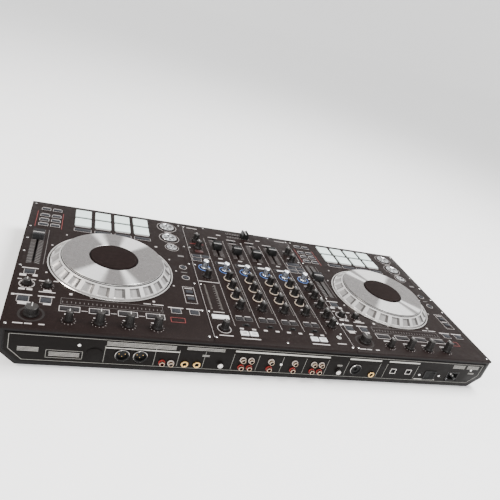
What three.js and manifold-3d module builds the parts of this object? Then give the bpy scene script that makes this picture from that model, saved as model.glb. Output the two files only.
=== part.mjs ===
// Four-channel DJ controller: two decks with jog wheels, and a mixer between them.
// Lengths are in millimetres. +X is the unit's right from the user's seat, +Y runs to the rear
// face with the sockets, +Z is up. The origin is the middle of the footprint, on the surface
// that the unit stands on.

import * as THREE from 'three';
import { mergeVertices } from 'three/addons/utils/BufferGeometryUtils.js';
import Module from 'manifold-3d';

const wasm = await Module();
wasm.setup();

// Overall sizes
const CASE_WIDTH = 876;
const TOP_DEPTH = 414.8;
const TOP_HEIGHT = 69.7;
const MIXER_WIDTH = 262;
const SEAM = 0.8;
const PLATE = 2;
const SEAT_GAP = 0.3;
const OVERRUN = 4;

// Bottom case, its lower chamfers, rear frame and feet
const CASE_WALL = 3;
const CHAMFER_HEIGHT = 23.5;
const CHAMFER_RUN = 24;
const FRONT_BEVEL = 6.1;
const LIP_DROP = 4;
const LIP_THICKNESS = 1.1;
const REAR_FRAME = 4;
const FOOT_HEIGHT = 3.2;
const FOOT_RADIUS = 14;
const FOOT_INSET = 52;

// Rear panel
const PANEL_SIDE_MARGIN = 8;
const PANEL_TOP_MARGIN = 8.8;
const PANEL_BOTTOM_MARGIN = 6.5;
const PANEL_THICKNESS = 2;
const PANEL_CHAMFER_RUN = 20;
const PANEL_CHAMFER_HEIGHT = 19;

// Jog wheels, their bases and displays; heights are above the top face
const JOG_SHIFT = { left: 7.2, right: 0.1 };
const JOG_Y = 18.8;
const JOG_SIDES = 48;
const BASE_SIDES = 32;
const INNER_SIDES = 20;
const RING_RADIUS = 107.9;
const RING_WIDTH = 2.4;
const RING_HEIGHT = 3;
const RING_BEVEL = 0.9;
const WHEEL_RADIUS = 103.2;
const WHEEL_FLOAT = 1;
const WHEEL_RIM = 2.6;
const WHEEL_HEIGHT = 20.5;
const PLATTER_RADIUS = 86.4;
const SKIRT_TOP_RADIUS = 87.4;
const SKIRT_TOP = 17.8;
const SKIRT_WALL = 2.4;
const DISC_THICKNESS = 5;
const WELL_RADIUS = 41.8;
const WELL_DEPTH = 2.5;
const DISPLAY_RADIUS = 40.2;
const DISPLAY_HEIGHT = 22;
const DISPLAY_BEVEL = 1.2;
const HUB_BORE = 13.2;
const HUB_WALL = 5.5;
const HUB_SIDES = 12;
const SPINDLE_RADIUS = 12;
const DIMPLES = 24;
const DIMPLE_WIDTH = 16.5;
const DIMPLE_LENGTH = 14;
const DIMPLE_DEPTH = 1.3;
const CUP_DEPTH = 16;
const CUP_WALL = 2.4;
const CUP_FLOOR = 2;

// Pads and keys
const PAD_SIZE = 31;
const PAD_PITCH = 38.5;
const PAD_RISE = 2;
const PAD_BEVEL = 0.7;
const PAD_COLUMNS = 4;
const PAD_ROWS = 2;
const PAD_MAT = 1.5;
const PAD_MAT_MARGIN = 4;
const PAD_MAT_DROP = 3;
const KEY_RISE = 1.4;
const KEY_GAP = 0.4;
const KEY_CARRIER = 1.6;
const KEY_CARRIER_DROP = 7;
const KEY_CARRIER_MARGIN = 8;
const KEY_CARRIER_CLEARANCE = 2.2;
const KEYS = {
  effect: [27, 9],
  square: [15, 11.5],
  group: [13, 8.5],
  mode: [30, 8.5],
  block: [15, 7.5],
  cue: [28, 11],
  pair: [13, 9],
  window: [14, 11],
  master: [30, 11],
  wide: [17, 9],
};
const ROUND_KEY_RADIUS = 5.2;
const ROUND_SIDES = 8;

// Round buttons
const BUTTON_RADIUS = 15.5;
const BUTTON_RISE = 2;
const BUTTON_DISH = 0.7;
const BUTTON_RIM = 3;
const BUTTON_SIDES = 16;
const BUTTON_FLANGE = 1.5;
const BUTTON_FLANGE_DROP = 1.8;
const BUTTON_FLANGE_THICKNESS = 2;
const BUTTON_GAP = 0.5;
const SHIFT_RADIUS = 10.5;

// Knobs: sides, shaft, and for each kind the base radius, top radius and height
const KNOB_SIDES = 8;
const KNOB_FLOAT = 0.6;
const KNOB_SKIRT = 2.4;
const KNOB_EDGE = 0.7;
const POINTER_WIDTH = 1.1;
const POINTER_RISE = 0.4;
const SHAFT_RADIUS = 3;
const SHAFT_SIDES = 6;
const SHAFT_GAP = 1.1;
const SHAFT_LENGTH = 6;
const EFFECT_KNOB = { base: 8.2, top: 6.4, height: 21 };
const ENCODER_KNOB = { base: 6.2, top: 5.2, height: 17 };
const CHANNEL_KNOB = { base: 8, top: 6, height: 16.5 };
const SMALL_KNOB = { base: 7, top: 5.6, height: 9 };
const SELECTOR_KNOB = { base: 11, top: 9.2, height: 13.5 };
const SELECTOR_SIDES = 12;

// Faders
const CAP_FLOAT = 1.2;
const STEM_THICKNESS = 1.4;
const STEM_LENGTH = 7;
const STEM_DROP = 8;
const SLOT_GAP = 0.8;
const CHANNEL_CAP = { width: 17, length: 22, height: 13.5 };
const TEMPO_CAP = { width: 19, length: 24, height: 11 };
const CROSS_CAP = { width: 15, length: 20, height: 15 };
const CHANNEL_TRAVEL = 54;
const TEMPO_TRAVEL = 100;
const CROSS_TRAVEL = 45;

// Rear sockets, with heights above the surface
const BOARD_HEIGHT = 11.6;
const BOARD_THICKNESS = 1.6;
const BOARD_DEPTH = 78;
const STANDOFF_RADIUS = 3;
const STANDOFF_INSET = 9;
const BLOCK_DEPTH = 14;
const PHONO_RADIUS = 4.15;
const PHONO_BORE = 1.8;
const PHONO_SIDES = 6;
const BORE_SIDES = 5;
const PHONO_REACH = 5.6;
const PHONO_PITCH = 14.5;
const PHONO_LOW = 21.7;
const PHONO_RISE = 15;
const JACK_RADIUS = 6.2;
const JACK_BORE = 3.3;
const JACK_REACH = 2.6;
const JACK_DEPTH = 20;
const JACK_SIDES = 8;
const XLR_RADIUS = 11;
const XLR_CUP = 8.2;
const XLR_DEPTH = 11;
const XLR_PIN = 1.2;
const XLR_PIN_LENGTH = 6;
const XLR_PIN_CIRCLE = 4.6;
const XLR_HEIGHT = 31.7;
const XLR_SIDES = 10;
const PIN_SIDES = 4;
const USB_WIDTH = 12;
const USB_HEIGHT = 11;
const USB_WALL = 1.4;
const USB_DEPTH = 9;
const USB_TONGUE = [5.4, 2.6];
const TERMINAL_RADIUS = 4.6;
const TERMINAL_STUD = 2;
const TERMINAL_REACH = 5.4;
const TERMINAL_HEIGHT = 25;
const MAINS_HEIGHT = 27;
const INLET_WIDTH = 27;
const INLET_HEIGHT = 20;
const INLET_WALL = 2.2;
const INLET_DEPTH = 14;
const INLET_PIN = [2, 4];
const INLET_PIN_LENGTH = 9;
const INLET_PIN_SPREAD = 7;
const INLET_PIN_STEP = 4;
const SUPPLY_WIDTH = 84;
const SUPPLY_DEPTH = 62;
const SUPPLY_HEIGHT = 30;
const ROCKER_WIDTH = 20;
const ROCKER_HEIGHT = 14;
const ROCKER_DEPTH = 9;
const ROCKER_TILT = 7;
const ROCKER_GAP = 0.8;
const ROCKER_BEZEL = 2.4;
const ROCKER_BEZEL_RISE = 1.2;
const LOCK_RADIUS = 12;
const LOCK_RISE = 0.8;
const LOCK_HEIGHT = 29.7;
const LOCK_SLOT = [7, 3];
const PHONES_HEIGHT = 42;
const PHONES_BLOCK = 15;

// Heights and depths that follow
const CASE_TOP = TOP_HEIGHT - PLATE - SEAT_GAP;
const PLATE_UNDER = TOP_HEIGHT - PLATE;
const TOP_FRONT = -TOP_DEPTH / 2;
const TOP_REAR = TOP_DEPTH / 2;
const CASE_FRONT = TOP_FRONT - FRONT_BEVEL;
const CASE_REAR = TOP_REAR - LIP_THICKNESS - SEAT_GAP;
const REAR_REACH = -CASE_FRONT;
const PANEL_FACE = TOP_REAR - SEAT_GAP;
const PANEL_BACK = PANEL_FACE - PANEL_THICKNESS;
const BLOCK_FACE = PANEL_BACK - SEAT_GAP;
const DECK_WIDTH = (CASE_WIDTH - MIXER_WIDTH) / 2;
const DECK_MIDDLE = (MIXER_WIDTH + DECK_WIDTH) / 2;
const JOG_X = { left: JOG_SHIFT.left - DECK_MIDDLE, right: JOG_SHIFT.right + DECK_MIDDLE };
const SIDES = ['left', 'right'];
const CHANNELS = [1, 2, 3, 4];

// Places of one deck's controls: x from the jog's middle as a share of the deck's width,
// y from the middle of the top as a share of its depth.
const effectXShares = [-0.211, -0.0703, 0.0703, 0.211];
const effectKnobYShare = 0.4436;
const effectKeyYShare = 0.3749;
const selectorShares = [0.3779, 0.4219];
const smallKnobShares = [[0.327, 0.241], [0.4248, 0.2375]];
const squareKeyShares = [
  [-0.43, 0.3242], [-0.329, 0.3242], [0.3238, 0.3363], [0.428, 0.3363], [0.4248, 0.1519],
];
const groupKeyShares = [[-0.43, 0.2266], [-0.43, 0.176]];
const roundKeyShares = [[-0.432, 0.0603], [-0.432, -0.0289]];
const shiftShares = [-0.3896, -0.2073];
const cueShares = [-0.3863, -0.3062];
const playShares = [-0.3863, -0.4243];
const padMiddleShares = [-0.0125, -0.3828];
const modeKeyYShare = -0.2555;
const blockXShares = [0.3401, 0.4085];
const blockYShares = [-0.2628, -0.311, -0.3592, -0.4267];
const tempoShares = [0.4202, -0.0627];
const tempoRestShare = { left: -0.09, right: -0.32 };

// Places of the mixer's controls: x as a share of its width, y as a share of the top's depth.
const channelXShares = [-0.249, -0.083, 0.083, 0.249];
const knobRows = [
  { name: 'trim_knob', yShare: 0.2555 },
  { name: 'high_knob', yShare: 0.176 },
  { name: 'mid_knob', yShare: 0.1013 },
  { name: 'low_knob', yShare: 0.0265 },
  { name: 'colour_knob', yShare: -0.0482 },
];
const channelFaderYShare = -0.2628;
const channelRestShares = [-0.22, 0.24, 0.13, -0.04];
const crossfaderYShare = -0.4412;
const crossfaderRestShare = -0.35;
const sideColumnShare = 0.4122;
const micKnobYShares = [0.3303, 0.2603, 0.1832, 0.1061, 0.0386, -0.0482, -0.2363, -0.3158];
const masterKnobYShares = [0.4147, 0.0289, -0.0482, -0.2459, -0.3206];
const toggleYShare = 0.4147;
const cueKeyYShare = -0.1085;
const pairKeyYShare = 0.3375;
const windowKeyYShare = 0.4363;
const windowKeyXShares = [-0.2786, -0.2137, 0.2214, 0.2844];
const masterKeyYShare = 0.3399;
const micKeyShares = [[-0.452, -0.1278], [-0.374, -0.1278], [-0.452, -0.1591], [-0.374, -0.1591]];
const micWideKeyYShare = -0.2001;
const masterKeyShares = [[0.374, -0.1567], [0.4466, -0.1567], [0.4504, -0.1206]];
const masterRedKeyYShare = -0.2025;
const inputSwitchYShare = 0.3809;
const assignSwitchYShare = -0.3616;
const SWITCH_NUB = [7, 3.4, 3];
const TOGGLE = { nut: 5, nutHeight: 2, neck: 1.4, lever: 2, length: 10, sides: 8 };

// Places of the rear sockets as shares of the case's width
const xlrXShares = [0.3048, 0.274];
const recordPhonoXShares = [0.234, 0.218];
const boothJackXShares = [0.1929, 0.1701];
const terminalXShares = [0.1267, -0.1233];
const doublePhonoXShares = [0.0765, -0.0731];
const singlePhonoXShares = [0.0274, -0.0228];
const comboXShare = -0.1621;
const micJackXShare = -0.2043;
const usbXShares = [-0.2546, -0.2934];
const rockerXShare = -0.3516;
const inletXShare = -0.4144;
const lockXShare = 0.3505;
const boardXShares = [-0.31, 0.325];
const phonesXShares = [-0.12, -0.095];

// Finishes
function finish(color, roughness, metalness) {
  return new THREE.MeshStandardMaterial({ color, roughness, metalness });
}
const FINISH = {
  plate: finish(0x2b2525, 0.45, 0.35),
  case: finish(0x171616, 0.6, 0.2),
  panel: finish(0x121314, 0.5, 0.3),
  board: finish(0x1f4a33, 0.7, 0),
  supply: finish(0xa3a7a8, 0.4, 0.8),
  jog: finish(0xc4c2c2, 0.3, 0.9),
  ring: finish(0xd2cfcb, 0.3, 0.8),
  display: finish(0x2c2424, 0.2, 0),
  pad: finish(0xe3e9e7, 0.55, 0),
  key: finish(0x8f8c8e, 0.45, 0.1),
  knob: finish(0x191717, 0.6, 0),
  colourKnob: finish(0x9ba0a6, 0.35, 0.5),
  cap: finish(0x151515, 0.5, 0),
  tempoCap: finish(0x8c8e8c, 0.45, 0.2),
  chrome: finish(0xe0e0e2, 0.12, 1),
  rocker: finish(0x0d0d0d, 0.4, 0),
};

// Turns a three.js geometry into a solid.
function solid(geometry) {
  const plain = geometry.index ? geometry.toNonIndexed() : geometry.clone();
  plain.deleteAttribute('normal');
  plain.deleteAttribute('uv');
  const merged = mergeVertices(plain);
  const corners = Array.from(merged.index.array);
  const triVerts = [];
  for (let i = 0; i < corners.length; i += 3) {
    const [a, b, c] = corners.slice(i, i + 3);
    if (a !== b && b !== c && c !== a) triVerts.push(a, b, c);
  }
  return new wasm.Manifold(new wasm.Mesh({
    numProp: 3,
    vertProperties: new Float32Array(merged.attributes.position.array),
    triVerts: new Uint32Array(triVerts),
  }));
}

// Joins solids into one, and takes solids away from one.
function join(parts) {
  return parts.reduce((whole, part) => whole.add(part));
}
function carve(body, cutters) {
  return cutters.reduce((rest, cutter) => rest.subtract(cutter), body);
}

// The scene graph: one group for each deck, at its jog's middle, and one for the mixer.
const controller = new THREE.Group();
const deckGroups = {};
SIDES.forEach((side) => {
  deckGroups[side] = new THREE.Group();
  deckGroups[side].position.x = JOG_X[side];
});
const mixerGroup = new THREE.Group();
controller.add(deckGroups.left, mixerGroup, deckGroups.right);

// Names a solid, gives it its finish and puts it in a group.
function place(group, name, body, material, [x, y] = [0, 0]) {
  const mesh = body.getMesh();
  const geometry = new THREE.BufferGeometry();
  geometry.setAttribute('position', new THREE.BufferAttribute(mesh.vertProperties, 3));
  geometry.setIndex(new THREE.BufferAttribute(mesh.triVerts, 1));
  geometry.computeVertexNormals();
  const node = new THREE.Mesh(geometry, material);
  node.name = name;
  node.position.set(x, y, 0);
  group.add(node);
}

// Closed outline through points.
function outline(points) {
  return new THREE.Shape(points.map(([x, y]) => new THREE.Vector2(x, y)));
}

// A block between two corners.
function block([x0, y0, z0], [x1, y1, z1]) {
  const box = new THREE.BoxGeometry(x1 - x0, y1 - y0, z1 - z0);
  box.translate((x0 + x1) / 2, (y0 + y1) / 2, (z0 + z1) / 2);
  return solid(box);
}

// A side outline of (y, z) points run along X.
function runAlongX(points, x0, x1) {
  const run = new THREE.ExtrudeGeometry(outline(points), { depth: x1 - x0, bevelEnabled: false });
  const turn = new THREE.Matrix4().makeBasis(
    new THREE.Vector3(0, 1, 0), new THREE.Vector3(0, 0, 1), new THREE.Vector3(1, 0, 0));
  run.applyMatrix4(turn);
  run.translate(x0, 0, 0);
  return solid(run);
}

// A front outline of (x, z) points run along Y.
function runAlongY(points, y0, y1) {
  const run = new THREE.ExtrudeGeometry(outline(points), { depth: y1 - y0, bevelEnabled: false });
  const turn = new THREE.Matrix4().makeBasis(
    new THREE.Vector3(1, 0, 0), new THREE.Vector3(0, 0, 1), new THREE.Vector3(0, -1, 0));
  run.applyMatrix4(turn);
  run.translate(0, y1, 0);
  return solid(run);
}

// A solid of revolution about a vertical axis, from (radius, z) points that start and end on
// the axis or close on themselves.
function revolve(points, sides, x, y) {
  const profile = points.map(([radius, z]) => new THREE.Vector2(radius, z));
  if (THREE.ShapeUtils.area(profile) < 0) profile.reverse();
  const turned = new THREE.LatheGeometry(profile, sides);
  turned.rotateX(Math.PI / 2);
  turned.translate(x, y, 0);
  return solid(turned);
}

// A plain disc or post between two heights.
function post(x, y, radius, z0, z1, sides) {
  return revolve([[0, z0], [radius, z0], [radius, z1], [0, z1]], sides, x, y);
}

// A post that lies along Y, between two depths.
function spigot(x, z, radius, y0, y1, sides) {
  const rod = new THREE.CylinderGeometry(radius, radius, y1 - y0, sides);
  rod.translate(x, (y0 + y1) / 2, z);
  return solid(rod);
}

// Cutters for holes through the top plates and the sheets below them.
const HOLE_FOOT = TOP_HEIGHT - CUP_DEPTH - OVERRUN;
const HOLE_TOP = TOP_HEIGHT + OVERRUN;
function roundHole(x, y, radius, sides) {
  return post(x, y, radius, HOLE_FOOT, HOLE_TOP, sides);
}
function boxHole(x, y, width, depth) {
  return block([x - width / 2, y - depth / 2, HOLE_FOOT], [x + width / 2, y + depth / 2, HOLE_TOP]);
}

// Bottom case: tray with lower chamfers, a frame round the rear panel, feet and the front
// headphone sockets.
function panelOutline(grow) {
  const half = CASE_WIDTH / 2 - PANEL_SIDE_MARGIN + grow;
  const foot = half - PANEL_CHAMFER_RUN;
  const top = TOP_HEIGHT - PANEL_TOP_MARGIN + grow;
  const bottom = FOOT_HEIGHT + PANEL_BOTTOM_MARGIN - grow;
  const knee = bottom + PANEL_CHAMFER_HEIGHT;
  return [[-foot, bottom], [foot, bottom], [half, knee], [half, top], [-half, top], [-half, knee]];
}
function caseOutlines(wall, top) {
  const half = CASE_WIDTH / 2 - wall;
  const floor = FOOT_HEIGHT + wall;
  const knee = FOOT_HEIGHT + CHAMFER_HEIGHT + wall / 2;
  const front = CASE_FRONT + wall;
  const across = [
    [-half + CHAMFER_RUN, floor], [half - CHAMFER_RUN, floor], [half, knee],
    [half, top], [-half, top], [-half, knee],
  ];
  return { across, floor, knee, front };
}
function phonesSockets() {
  const rear = CASE_FRONT + CASE_WALL + JACK_DEPTH;
  const xs = phonesXShares.map((share) => share * CASE_WIDTH);
  const holder = block(
    [xs[0] - PHONES_BLOCK / 2, CASE_FRONT + CASE_WALL / 2, PHONES_HEIGHT - PHONES_BLOCK / 2],
    [xs[1] + PHONES_BLOCK / 2, rear, PHONES_HEIGHT + PHONES_BLOCK / 2]);
  const bores = [JACK_BORE, JACK_BORE / 2].map((radius, i) => spigot(
    xs[i], PHONES_HEIGHT, radius, CASE_FRONT - OVERRUN, rear - CASE_WALL, JACK_SIDES));
  return { holder, bores };
}
function bottomCase() {
  const outer = caseOutlines(0, CASE_TOP);
  const inner = caseOutlines(CASE_WALL, CASE_TOP + OVERRUN);
  const lipFoot = TOP_HEIGHT - FRONT_BEVEL - PLATE - SEAT_GAP;
  const sideOuter = [
    [CASE_REAR, outer.floor], [CASE_REAR, CASE_TOP],
    [inner.front + CASE_TOP - lipFoot, CASE_TOP], [inner.front, lipFoot],
    [outer.front, lipFoot], [outer.front, outer.knee], [outer.front + CHAMFER_RUN, outer.floor],
  ];
  const sideInner = [
    [CASE_REAR - REAR_FRAME, inner.floor], [CASE_REAR - REAR_FRAME, CASE_TOP + OVERRUN],
    [inner.front, CASE_TOP + OVERRUN], [inner.front, inner.knee],
    [inner.front + CHAMFER_RUN, inner.floor],
  ];
  const half = CASE_WIDTH / 2;
  const shell = runAlongX(sideOuter, -half, half)
    .intersect(runAlongY(outer.across, CASE_FRONT, CASE_REAR));
  const hollow = runAlongX(sideInner, -half, half)
    .intersect(runAlongY(inner.across, CASE_FRONT, CASE_REAR));
  const window = runAlongY(panelOutline(SEAT_GAP), CASE_REAR - REAR_FRAME - OVERRUN,
    CASE_REAR + OVERRUN);
  const phones = phonesSockets();
  let tray = carve(shell.subtract(hollow).subtract(window).add(phones.holder), phones.bores);
  for (const sx of [-1, 1]) {
    for (const y of [CASE_FRONT + CHAMFER_RUN + FOOT_INSET / 2, 0, CASE_REAR - FOOT_INSET / 2]) {
      const x = sx * (half - CHAMFER_RUN - FOOT_INSET);
      tray = tray.add(post(x, y, FOOT_RADIUS, 0, FOOT_HEIGHT + CASE_WALL / 2, ROUND_SIDES));
    }
  }
  place(controller, 'bottom_case', tray, FINISH.case);
}

// One painted top plate: a slab with a bevelled front lip and a short rear lip.
function topPlate(x0, x1) {
  const slab = block([x0, TOP_FRONT, PLATE_UNDER], [x1, TOP_REAR, TOP_HEIGHT]);
  const lipEnd = TOP_HEIGHT - FRONT_BEVEL;
  const frontLip = runAlongX([
    [TOP_FRONT, TOP_HEIGHT], [TOP_FRONT, PLATE_UNDER], [CASE_FRONT, lipEnd - PLATE],
    [CASE_FRONT, lipEnd],
  ], x0, x1);
  const rearLip = block([x0, TOP_REAR - LIP_THICKNESS, TOP_HEIGHT - LIP_DROP],
    [x1, TOP_REAR, TOP_HEIGHT]);
  return join([slab, frontLip, rearLip]);
}

// Knob on its shaft; the pointer ridge runs from the middle of the top to its front edge.
function knob(kind, x, y, shaftEnd, sides = KNOB_SIDES) {
  const foot = TOP_HEIGHT + KNOB_FLOAT;
  const top = TOP_HEIGHT + kind.height;
  const body = revolve([
    [0, foot], [kind.base, foot], [kind.top + KNOB_EDGE, foot + KNOB_SKIRT], [kind.top, top],
    [0, top],
  ], sides, x, y);
  const pointer = block([x - POINTER_WIDTH / 2, y - kind.top + KNOB_EDGE, top - POINTER_RISE],
    [x + POINTER_WIDTH / 2, y, top + POINTER_RISE]);
  const shaft = post(x, y, SHAFT_RADIUS, shaftEnd, foot + KNOB_SKIRT, SHAFT_SIDES);
  return join([body, pointer, shaft]);
}
const SHAFT_END = PLATE_UNDER - SHAFT_LENGTH + PLATE;

// Key top that stands on a carrier.
function key([width, depth], x, y) {
  const foot = PLATE_UNDER - KEY_CARRIER_DROP;
  return block([x - width / 2, y - depth / 2, foot - KEY_CARRIER / 2],
    [x + width / 2, y + depth / 2, TOP_HEIGHT + KEY_RISE]);
}

// Thin sheet that carries the key tops around it.
function carrierSheet(keys, top) {
  const xs = keys.map(([, [x]]) => x);
  const ys = keys.map(([, [, y]]) => y);
  const margin = KEY_CARRIER_MARGIN;
  return block([Math.min(...xs) - margin, Math.min(...ys) - margin, top - KEY_CARRIER],
    [Math.max(...xs) + margin, Math.max(...ys) + margin, top]);
}

// The places of a deck's controls, from its jog's middle in X.
function deckLayout() {
  const at = ([xShare, yShare]) => [xShare * DECK_WIDTH, yShare * TOP_DEPTH];
  const [padX, padY] = at(padMiddleShares);
  const padXs = [];
  for (let i = 0; i < PAD_COLUMNS; i += 1) {
    padXs.push(padX + (i - (PAD_COLUMNS - 1) / 2) * PAD_PITCH);
  }
  const pads = [];
  for (let row = 0; row < PAD_ROWS; row += 1) {
    const y = padY + (row - (PAD_ROWS - 1) / 2) * PAD_PITCH;
    padXs.forEach((x) => pads.push([x, y]));
  }
  const keys = [
    ...effectXShares.map((share) => [KEYS.effect, at([share, effectKeyYShare])]),
    ...squareKeyShares.map((shares) => [KEYS.square, at(shares)]),
    ...groupKeyShares.map((shares) => [KEYS.group, at(shares)]),
    ...padXs.map((x) => [KEYS.mode, [x, modeKeyYShare * TOP_DEPTH]]),
    ...blockYShares.flatMap((yShare) => blockXShares.map(
      (xShare) => [KEYS.block, at([xShare, yShare])])),
  ];
  const roundKeys = [
    ...roundKeyShares.map((shares) => [ROUND_KEY_RADIUS, at(shares)]),
    [SHIFT_RADIUS, at(shiftShares)],
  ];
  return {
    keys, roundKeys, pads,
    jog: [0, JOG_Y],
    buttons: { cue: at(cueShares), play: at(playShares) },
    effects: effectXShares.map((share) => at([share, effectKnobYShare])),
    smallKnobs: smallKnobShares.map(at),
    selector: at(selectorShares),
    tempo: at(tempoShares),
  };
}

// Deck plate with a cut-out for each control; the two small knobs are carried by the plate.
function deckPlate(side, layout) {
  const inner = MIXER_WIDTH / 2 + SEAM / 2;
  const ends = side === 'left' ? [-CASE_WIDTH / 2, -inner] : [inner, CASE_WIDTH / 2];
  const [x0, x1] = ends.map((end) => end - JOG_X[side]);
  const [tempoX, tempoY] = layout.tempo;
  const holes = [
    roundHole(...layout.jog, RING_RADIUS - RING_WIDTH + SEAT_GAP, BASE_SIDES),
    ...layout.effects.map(([x, y]) => roundHole(x, y, SHAFT_RADIUS + SHAFT_GAP, SHAFT_SIDES)),
    roundHole(...layout.selector, SHAFT_RADIUS + SHAFT_GAP, SHAFT_SIDES),
    ...Object.values(layout.buttons).map(
      ([x, y]) => roundHole(x, y, BUTTON_RADIUS + BUTTON_GAP, BUTTON_SIDES)),
    ...layout.pads.map(([x, y]) => boxHole(x, y, PAD_SIZE + 2 * KEY_GAP, PAD_SIZE + 2 * KEY_GAP)),
    ...layout.keys.map(([[w, d], [x, y]]) => boxHole(x, y, w + 2 * KEY_GAP, d + 2 * KEY_GAP)),
    ...layout.roundKeys.map(([r, [x, y]]) => roundHole(x, y, r + 2 * KEY_GAP, ROUND_SIDES)),
    boxHole(tempoX, tempoY, STEM_THICKNESS + 2 * SLOT_GAP,
      TEMPO_TRAVEL + STEM_LENGTH + 2 * SLOT_GAP),
  ];
  const knobs = layout.smallKnobs.map(([x, y]) => knob(SMALL_KNOB, x, y, PLATE_UNDER));
  place(deckGroups[side], `${side}_deck_plate`,
    join([carve(topPlate(x0, x1), holes), ...knobs]), FINISH.plate);
}

// Key tops of a deck on their carrier, which the jog base passes through.
function deckKeys(side, layout) {
  const top = PLATE_UNDER - KEY_CARRIER_DROP;
  const sheet = carrierSheet(layout.keys, top).subtract(roundHole(...layout.jog,
    RING_RADIUS - RING_WIDTH + KEY_CARRIER_CLEARANCE, INNER_SIDES));
  const tops = layout.keys.map(([size, [x, y]]) => key(size, x, y));
  const rounds = layout.roundKeys.map(([r, [x, y]]) => post(
    x, y, r, top - KEY_CARRIER / 2, TOP_HEIGHT + KEY_RISE, ROUND_SIDES));
  place(deckGroups[side], `${side}_deck_keys`, join([sheet, ...tops, ...rounds]), FINISH.key);
}

// Eight pads on their silicone mat.
function padMat(side, layout) {
  const top = PLATE_UNDER - PAD_MAT_DROP;
  const xs = layout.pads.map(([x]) => x);
  const ys = layout.pads.map(([, y]) => y);
  const reach = PAD_SIZE / 2 + PAD_MAT_MARGIN;
  const sheet = block([Math.min(...xs) - reach, Math.min(...ys) - reach, top - PAD_MAT],
    [Math.max(...xs) + reach, Math.max(...ys) + reach, top]);
  const half = PAD_SIZE / 2 - PAD_BEVEL;
  const square = [[-half, -half], [half, -half], [half, half], [-half, half]];
  const face = TOP_HEIGHT + PAD_RISE;
  const pads = layout.pads.map(([x, y]) => {
    const rise = new THREE.ExtrudeGeometry(outline(square), {
      depth: face - top - PAD_BEVEL + PAD_MAT / 2,
      bevelSize: PAD_BEVEL,
      bevelThickness: PAD_BEVEL,
      bevelSegments: 1,
    });
    rise.translate(x, y, top - PAD_MAT / 2);
    return solid(rise);
  });
  place(deckGroups[side], `${side}_pad_mat`, join([sheet, ...pads]), FINISH.pad);
}

// Fixed part under a jog wheel: silver ring, cup through the plate, and spindle.
function jogBase(side, centre) {
  const top = TOP_HEIGHT + RING_HEIGHT;
  const seat = TOP_HEIGHT + SEAT_GAP;
  const inner = RING_RADIUS - RING_WIDTH;
  const floor = TOP_HEIGHT - CUP_DEPTH;
  const cupInner = inner - CUP_WALL;
  const spindleTop = TOP_HEIGHT + WHEEL_HEIGHT - WELL_DEPTH + SEAT_GAP;
  const cup = revolve([
    [0, floor], [inner, floor], [inner, seat], [RING_RADIUS, seat],
    [RING_RADIUS, top - RING_BEVEL], [RING_RADIUS - RING_BEVEL, top], [inner, top],
    [cupInner, floor + CUP_FLOOR], [0, floor + CUP_FLOOR],
  ], BASE_SIDES, 0, 0);
  const spindle = post(0, 0, SPINDLE_RADIUS, floor + CUP_FLOOR / 2, spindleTop, HUB_SIDES);
  place(deckGroups[side], `${side}_jog_base`, cup.add(spindle), FINISH.ring, centre);
}

// Jog wheel: rim, dimpled skirt, platter face, well for the display, web and hub.
function jogWheel(side, centre) {
  const h = (above) => TOP_HEIGHT + above;
  const rim = h(WHEEL_FLOAT + WHEEL_RIM);
  const face = h(WHEEL_HEIGHT);
  const under = face - DISC_THICKNESS;
  const webTop = face - WELL_DEPTH;
  const hubFoot = TOP_HEIGHT - CUP_DEPTH + CUP_FLOOR + WHEEL_FLOAT;
  const body = revolve([
    [0, h(WHEEL_FLOAT)], [WHEEL_RADIUS, h(WHEEL_FLOAT)], [WHEEL_RADIUS, rim],
    [SKIRT_TOP_RADIUS, h(SKIRT_TOP)], [PLATTER_RADIUS, face], [0, face],
  ], JOG_SIDES, 0, 0);
  const hollow = revolve([
    [0, h(WHEEL_FLOAT) - RING_HEIGHT], [WHEEL_RADIUS - SKIRT_WALL, h(WHEEL_FLOAT) - RING_HEIGHT],
    [WHEEL_RADIUS - SKIRT_WALL, h(WHEEL_FLOAT)], [PLATTER_RADIUS - SKIRT_WALL, under],
    [0, under],
  ], INNER_SIDES, 0, 0);
  const hub = post(0, 0, HUB_BORE + HUB_WALL, hubFoot, under + SEAT_GAP, HUB_SIDES);
  const bore = post(0, 0, HUB_BORE, hubFoot - OVERRUN, face, HUB_SIDES);
  const well = post(0, 0, WELL_RADIUS, webTop, face + OVERRUN, INNER_SIDES);
  const slope = Math.atan2(h(SKIRT_TOP) - rim, WHEEL_RADIUS - SKIRT_TOP_RADIUS);
  const middle = [(WHEEL_RADIUS + SKIRT_TOP_RADIUS) / 2, (rim + h(SKIRT_TOP)) / 2];
  let wheel = carve(body.subtract(hollow).add(hub), [bore, well]);
  for (let i = 0; i < DIMPLES; i += 1) {
    const cutter = new THREE.BoxGeometry(DIMPLE_LENGTH, DIMPLE_WIDTH, 2 * DIMPLE_DEPTH);
    cutter.rotateY(slope);
    cutter.translate(middle[0], 0, middle[1]);
    cutter.rotateZ((2 * Math.PI * (i + 1 / 2)) / DIMPLES);
    wheel = wheel.subtract(solid(cutter));
  }
  place(deckGroups[side], `${side}_jog_wheel`, wheel, FINISH.jog, centre);
}

// Round display that rests on the spindle inside the platter's well.
function jogDisplay(side, centre) {
  const foot = TOP_HEIGHT + WHEEL_HEIGHT - WELL_DEPTH + 2 * SEAT_GAP;
  const top = TOP_HEIGHT + DISPLAY_HEIGHT;
  place(deckGroups[side], `${side}_jog_display`, revolve([
    [0, foot], [DISPLAY_RADIUS, foot], [DISPLAY_RADIUS, top - DISPLAY_BEVEL],
    [DISPLAY_RADIUS - DISPLAY_BEVEL, top], [0, top],
  ], INNER_SIDES, 0, 0), FINISH.display, centre);
}

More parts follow.
